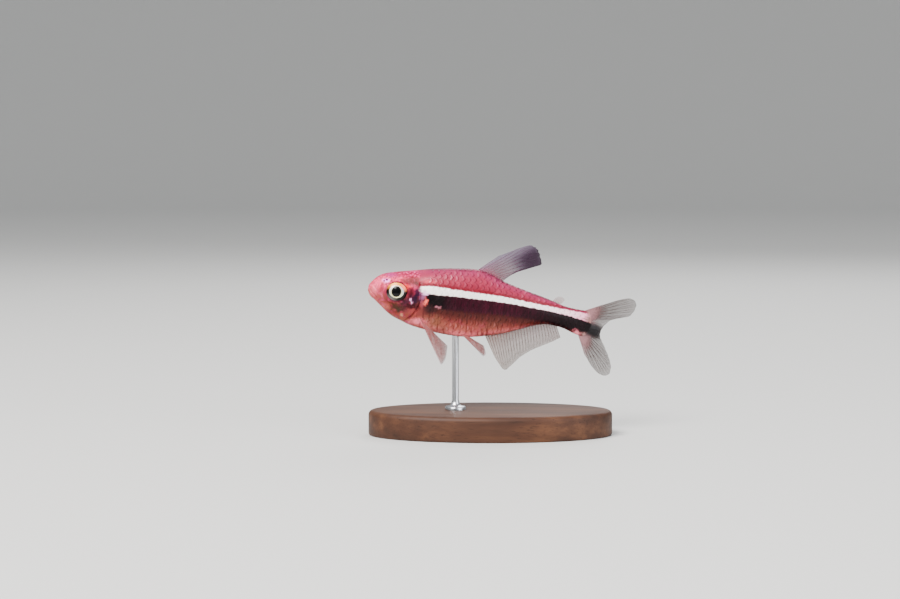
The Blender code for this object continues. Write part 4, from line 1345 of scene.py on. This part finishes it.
# %% Fins along the middle
DORSAL_ROOT = (0.478, 0.592)
DORSAL_MARGIN = (
    (0.560, 0.224), (0.676, 0.287), (0.714, 0.287), (0.733, 0.272), (0.747, 0.242), (0.752, 0.212),
    (0.700, 0.192), (0.640, 0.162),
)
ADIPOSE_ROOT = (0.826, 0.862)
ADIPOSE_MARGIN = ((0.836, 0.078), (0.850, 0.087), (0.868, 0.089), (0.878, 0.080), (0.874, 0.066))
ANAL_ROOT = (0.551, 0.868)
ANAL_MARGIN = (
    (0.610, -0.235), (0.655, -0.279), (0.684, -0.256), (0.720, -0.212), (0.762, -0.179),
    (0.809, -0.151), (0.863, -0.119), (0.900, -0.091),
)
UPPER_LOBE = (
    (1.060, 0.110), (1.156, 0.170), (1.201, 0.185), (1.228, 0.172), (1.230, 0.143), (1.212, 0.106),
    (1.164, 0.080), (1.118, 0.052), (1.092, 0.010), (1.088, -0.0115),
)
LOWER_LOBE = (
    (1.045, -0.132), (1.106, -0.176), (1.158, -0.194), (1.196, -0.182), (1.198, -0.148),
    (1.178, -0.116), (1.150, -0.086), (1.114, -0.052), (1.093, -0.032), (1.088, -0.0105),
)


def foot_on(line, start, end):
    """The foot of a fin on the body's upper or lower line."""
    def foot(a):
        share = start + (end - start) * a
        return np.stack((share, 0 * a, outline(line, share)), axis=1) * LENGTH
    return foot


def foot_of_lobe(line, side):
    """The foot of a tail lobe, from the tail's edge in to its middle."""
    edge = float(outline(line, 1.0)) * 0.97
    middle = -0.004 - side * 0.0006

    def foot(a):
        return np.stack((0.985 + 0 * a, 0 * a, edge + (middle - edge) * a), axis=1) * LENGTH
    return foot


Fin(foot_on(BACK, *DORSAL_ROOT), lambda a: margin(DORSAL_MARGIN, a), 11, 0.6).build(
    "dorsal", dorsal_finish, ["dorsal_fin"], plain=(0, 1))
Fin(foot_on(BACK, *ADIPOSE_ROOT), lambda a: margin(ADIPOSE_MARGIN, a), 6, 0.0).build(
    "adipose", paired_finish, ["adipose_fin"], only_sheet=True)
Fin(foot_on(BELLY, *ANAL_ROOT), lambda a: margin(ANAL_MARGIN, a), 26, 2.0).build(
    "anal", anal_finish, ["anal_fin"], thick=0.042 * MM, plain=(0, 1, 2))
Fin(foot_of_lobe(BACK, 1), lambda a: margin(UPPER_LOBE, a), 12, 1.0).build(
    "tail_upper", tail_finish, ["caudal_fin_upper"], plain=(0,))
Fin(foot_of_lobe(BELLY, -1), lambda a: margin(LOWER_LOBE, a), 12, 1.0 + math.pi).build(
    "tail_lower", tail_finish, ["caudal_fin_lower"], plain=(0,))

# %% [markdown]
# Breast and belly fins stand off the flanks in pairs. Their rays fan out from a short foot, so
# the two end rays give all the others by an even blend.

# %% Fins in pairs
PECTORAL_ROOT = ((0.252, -0.104), (0.268, -0.122))
PECTORAL_RAY_ENDS = ((0.122, 0.075, -0.192), (0.122, 0.045, -0.088))
PELVIC_ROOT = ((0.447, -0.149), (0.466, -0.150))
PELVIC_RAY_ENDS = ((0.112, 0.035, -0.082), (0.085, 0.012, -0.036))
PAIRED_BULGE = 0.06


def paired(root, ends, side, rays, phase):
    root, ends = np.array(root), np.array(ends)

    def foot(a):
        share, height = ((root[0] + (root[1] - root[0]) * a[:, None]) * (1, LENGTH)).T
        return np.stack((share * LENGTH, side * flank(share, height), height), axis=1)

    def tip(a):
        ray = (ends[0] + (ends[1] - ends[0]) * a[:, None]) * (1, side, 1) * LENGTH
        return foot(a) + ray * (1 + PAIRED_BULGE * np.sin(math.pi * a))[:, None]
    return Fin(foot, tip, rays, phase)


for name, side in (("left", -1), ("right", 1)):
    paired(PECTORAL_ROOT, PECTORAL_RAY_ENDS, side, 12, 0.4).build(
        "pectoral_" + name, paired_finish, [name + "_pectoral_fin"], thick=0.036 * MM, plain=(0,))
    paired(PELVIC_ROOT, PELVIC_RAY_ENDS, side, 8, 1.4).build(
        "pelvic_" + name, paired_finish, [name + "_pelvic_fin"], thick=0.036 * MM, plain=(0,))

# %% [markdown]
# ## The stand
#
# The fish needs a quiet holder. The base is a turned oval of oiled walnut with an eased upper
# edge, and the rod is a steel pin with a small foot plate. The base is a short cylinder drawn
# out to an oval and bevelled; the rod is spun from its half profile.

# %% Walnut and steel
paint = wood_finish = Finish("walnut", Roughness=0.55, Specular_IOR_Level=0.25)
on_wood = paint.value("TexCoord", output="Object")
bend_grain = paint.noise(on_wood, 60, 2.0, stretch=(0.5, 1.2, 1.2))
wood_x, wood_y, wood_z = on_wood.parts()
board = paint.vector(wood_x * 0.1, wood_y + bend_grain * 0.004, wood_z * 0.8)
grain = paint.noise(board, 620, 4.0)
fibres = paint.noise(on_wood, 1300, 3.0, stretch=(0.05, 1.0, 1.0))
pores = paint.noise(on_wood, 6000, 1.0, stretch=(0.07, 1.0, 1.0))
paint.set("Base Color", paint.coats(
    grain.shades(((0.32, 50, 29, 19), (0.5, 70, 42, 27), (0.68, 92, 58, 37))),
    (fibres.ease(0.35, 0.7, 0.0, 0.6), (58, 32, 20)),
    (pores.ease(0.6, 0.72, 0.0, 0.45), (28, 14, 8)),
))
paint.set("Normal", paint.bump(fibres - pores, 0.03 * MM, 0.5))

paint = steel_finish = Finish("steel", Metallic=1.0, Base_Color=tint(196, 198, 202))
brushed = paint.noise(paint.value("TexCoord", output="Object"), 2400, 2.0, stretch=(1.0, 1.0, 0.05))
paint.set("Roughness", brushed.ease(0.3, 0.7, 0.2, 0.34))
print("walnut and steel are mixed")

# %% [markdown]
# The base stands on its flat underside and is bevelled twice, broadly above and hardly below. The
# rod runs down into the base, so that no gap can show, and its foot plate covers the joint.

# %% Shape base and rod
BASE_LENGTH, BASE_WIDTH, BASE_HEIGHT, BASE_EDGE = 35.0 * MM, 19.0 * MM, 3.6 * MM, 0.7 * MM
bm = bmesh.new()
bmesh.ops.create_cone(bm, cap_ends=True, segments=192, radius1=0.5, radius2=0.5, depth=1)
bmesh.ops.scale(bm, verts=bm.verts, vec=(BASE_LENGTH, BASE_WIDTH, BASE_HEIGHT))
bmesh.ops.translate(bm, verts=bm.verts, vec=(0, 0, BASE_HEIGHT / 2))
for height, width, bevel_steps in ((BASE_HEIGHT, BASE_EDGE, 6), (0.0, 0.3 * MM, 2)):
    rim_edges = [e for e in bm.edges if all(abs(v.co.z - height) < 1e-6 for v in e.verts)]
    bmesh.ops.bevel(
        bm, geom=rim_edges, offset=width, segments=bevel_steps, profile=0.5, affect="EDGES", material=-1
    )
base_mesh = mesh_from(bm, "base")
base_mesh.set_sharp_from_angle(angle=math.radians(40))
show("base", base_mesh, wood_finish, "wood", "stand_base")

ROD_RADIUS, PLATE_RADIUS, ROD_SUNK = 0.5, 1.5, 1.6
deck = BASE_HEIGHT / MM + 0.02
rod_profile = (
    (0.0, deck - ROD_SUNK), (ROD_RADIUS, deck - ROD_SUNK), (ROD_RADIUS, deck), (PLATE_RADIUS, deck),
    (PLATE_RADIUS, deck + 0.34), (1.44, deck + 0.44), (1.34, deck + 0.50), (1.0, deck + 0.56),
    (0.78, deck + 0.66), (0.66, deck + 0.84), (0.56, deck + 1.12), (ROD_RADIUS, deck + 1.36),
    (ROD_RADIUS, rod_high.z / MM), (0.0, rod_high.z / MM),
)
bm = turned_about_y(rod_profile, 64)
bmesh.ops.rotate(bm, verts=bm.verts, matrix=Matrix.Rotation(math.pi / 2, 3, "X"))
bmesh.ops.scale(bm, verts=bm.verts, vec=(MM, MM, MM))
bmesh.ops.translate(bm, verts=bm.verts, vec=(AXIS[0], AXIS[1], 0))
rod_mesh = mesh_from(bm, "rod")
rod_mesh.set_sharp_from_angle(angle=math.radians(35))
show("rod", rod_mesh, steel_finish, "steel", "stand_rod")

# %% [markdown]
# ## Camera, floor and light
#
# The camera stands to the fish as it did in the photo: in front of its left side, a little above
# it, and far enough off for a long lens. The fish's place in the frame is also the photo's.

# %% Set up the camera
AIM = Vector(AXIS)
VIEW_DISTANCE = 304 * MM
LENS, SENSOR = 85.0, 36.0
LOOK_DOWN = math.radians(4.0)
FRAME_SIZE = np.array((900, 599))
AIM_PIXEL = np.array((455.5, 299.8))
per_pixel = SENSOR / LENS / FRAME_SIZE[0] * VIEW_DISTANCE
aside_by, down_by = (AIM_PIXEL - FRAME_SIZE / 2) * per_pixel
turn_down = Matrix.Rotation(-LOOK_DOWN, 3, "X")
camera = into_scene("camera", bpy.data.cameras.new("camera"))
camera.data.lens, camera.data.sensor_width, camera.data.clip_start = LENS, SENSOR, 0.01
camera.location = AIM + turn_down @ Vector((-aside_by, -VIEW_DISTANCE, down_by))
camera.rotation_euler = (math.pi / 2 - LOOK_DOWN, 0, 0)
bpy.context.scene.camera = camera
print("the camera is", round(camera.location.length / MM), "mm from the middle of the base")

# %% [markdown]
# The floor is one pale, matt sheet that curves up into a wall far behind, as in a photographer's
# studio, so that no corner shows. It could be two planes; a turned bowl has no seam between them.

# %% Turn the floor
FLOOR_REACH, COVE = 1.2, 0.9
floor_finish = Finish("floor", Roughness=0.7, Base_Color=(0.56, 0.56, 0.55, 1.0))
floor_line = [(0.0, 0.0), (FLOOR_REACH, 0.0)] + [
    (FLOOR_REACH + COVE * math.sin(a), COVE - COVE * math.cos(a)) for a in np.linspace(0.05, math.pi / 2, 20)
] + [(FLOOR_REACH + COVE, COVE + 0.2)]
bm = turned_about_y(floor_line, 96)
bmesh.ops.rotate(bm, verts=bm.verts, matrix=Matrix.Rotation(math.pi / 2, 3, "X"))
floor_mesh = bpy.data.meshes.new("floor")
bm.to_mesh(floor_mesh)
bm.free()
floor_mesh.shade_smooth()
floor_mesh.materials.append(floor_finish.material)
into_scene("floor", floor_mesh)
print("the floor is", 2 * FLOOR_REACH, "m across before it rises")

# %% [markdown]
# The light is a large soft lamp from the upper left, a weaker one from the right that opens the
# shadows, and a faint one from behind for the fins' edges. One lamp would be simpler, but would
# leave the belly dark and the clear fins without an edge. The world adds an even grey.

# %% Hang the lamps
LAMPS = (
    # name, place, size, power, colour
    ("key", (-0.22, -0.30, 0.42), 0.32, 9.0, (1.0, 0.97, 0.94)),
    ("fill", (0.34, -0.26, 0.16), 0.30, 1.6, (0.94, 0.96, 1.0)),
    ("back", (0.10, 0.34, 0.30), 0.22, 1.0, (1.0, 1.0, 1.0)),
)
for name, place_at, size, power, lamp_colour in LAMPS:
    lamp = bpy.data.lights.new(name, "AREA")
    lamp.energy, lamp.size, lamp.color = power, size, lamp_colour
    light = into_scene(name, lamp)
    light.location = place_at
    light.rotation_euler = (AIM - light.location).to_track_quat("-Z", "Y").to_euler()
world = bpy.context.scene.world or bpy.data.worlds.new("studio")
bpy.context.scene.world = world
world.use_nodes = True
sky = world.node_tree.nodes["Background"].inputs
sky["Color"].default_value, sky["Strength"].default_value = (0.92, 0.94, 0.96, 1.0), 0.75
print(len(LAMPS), "lamps hang")
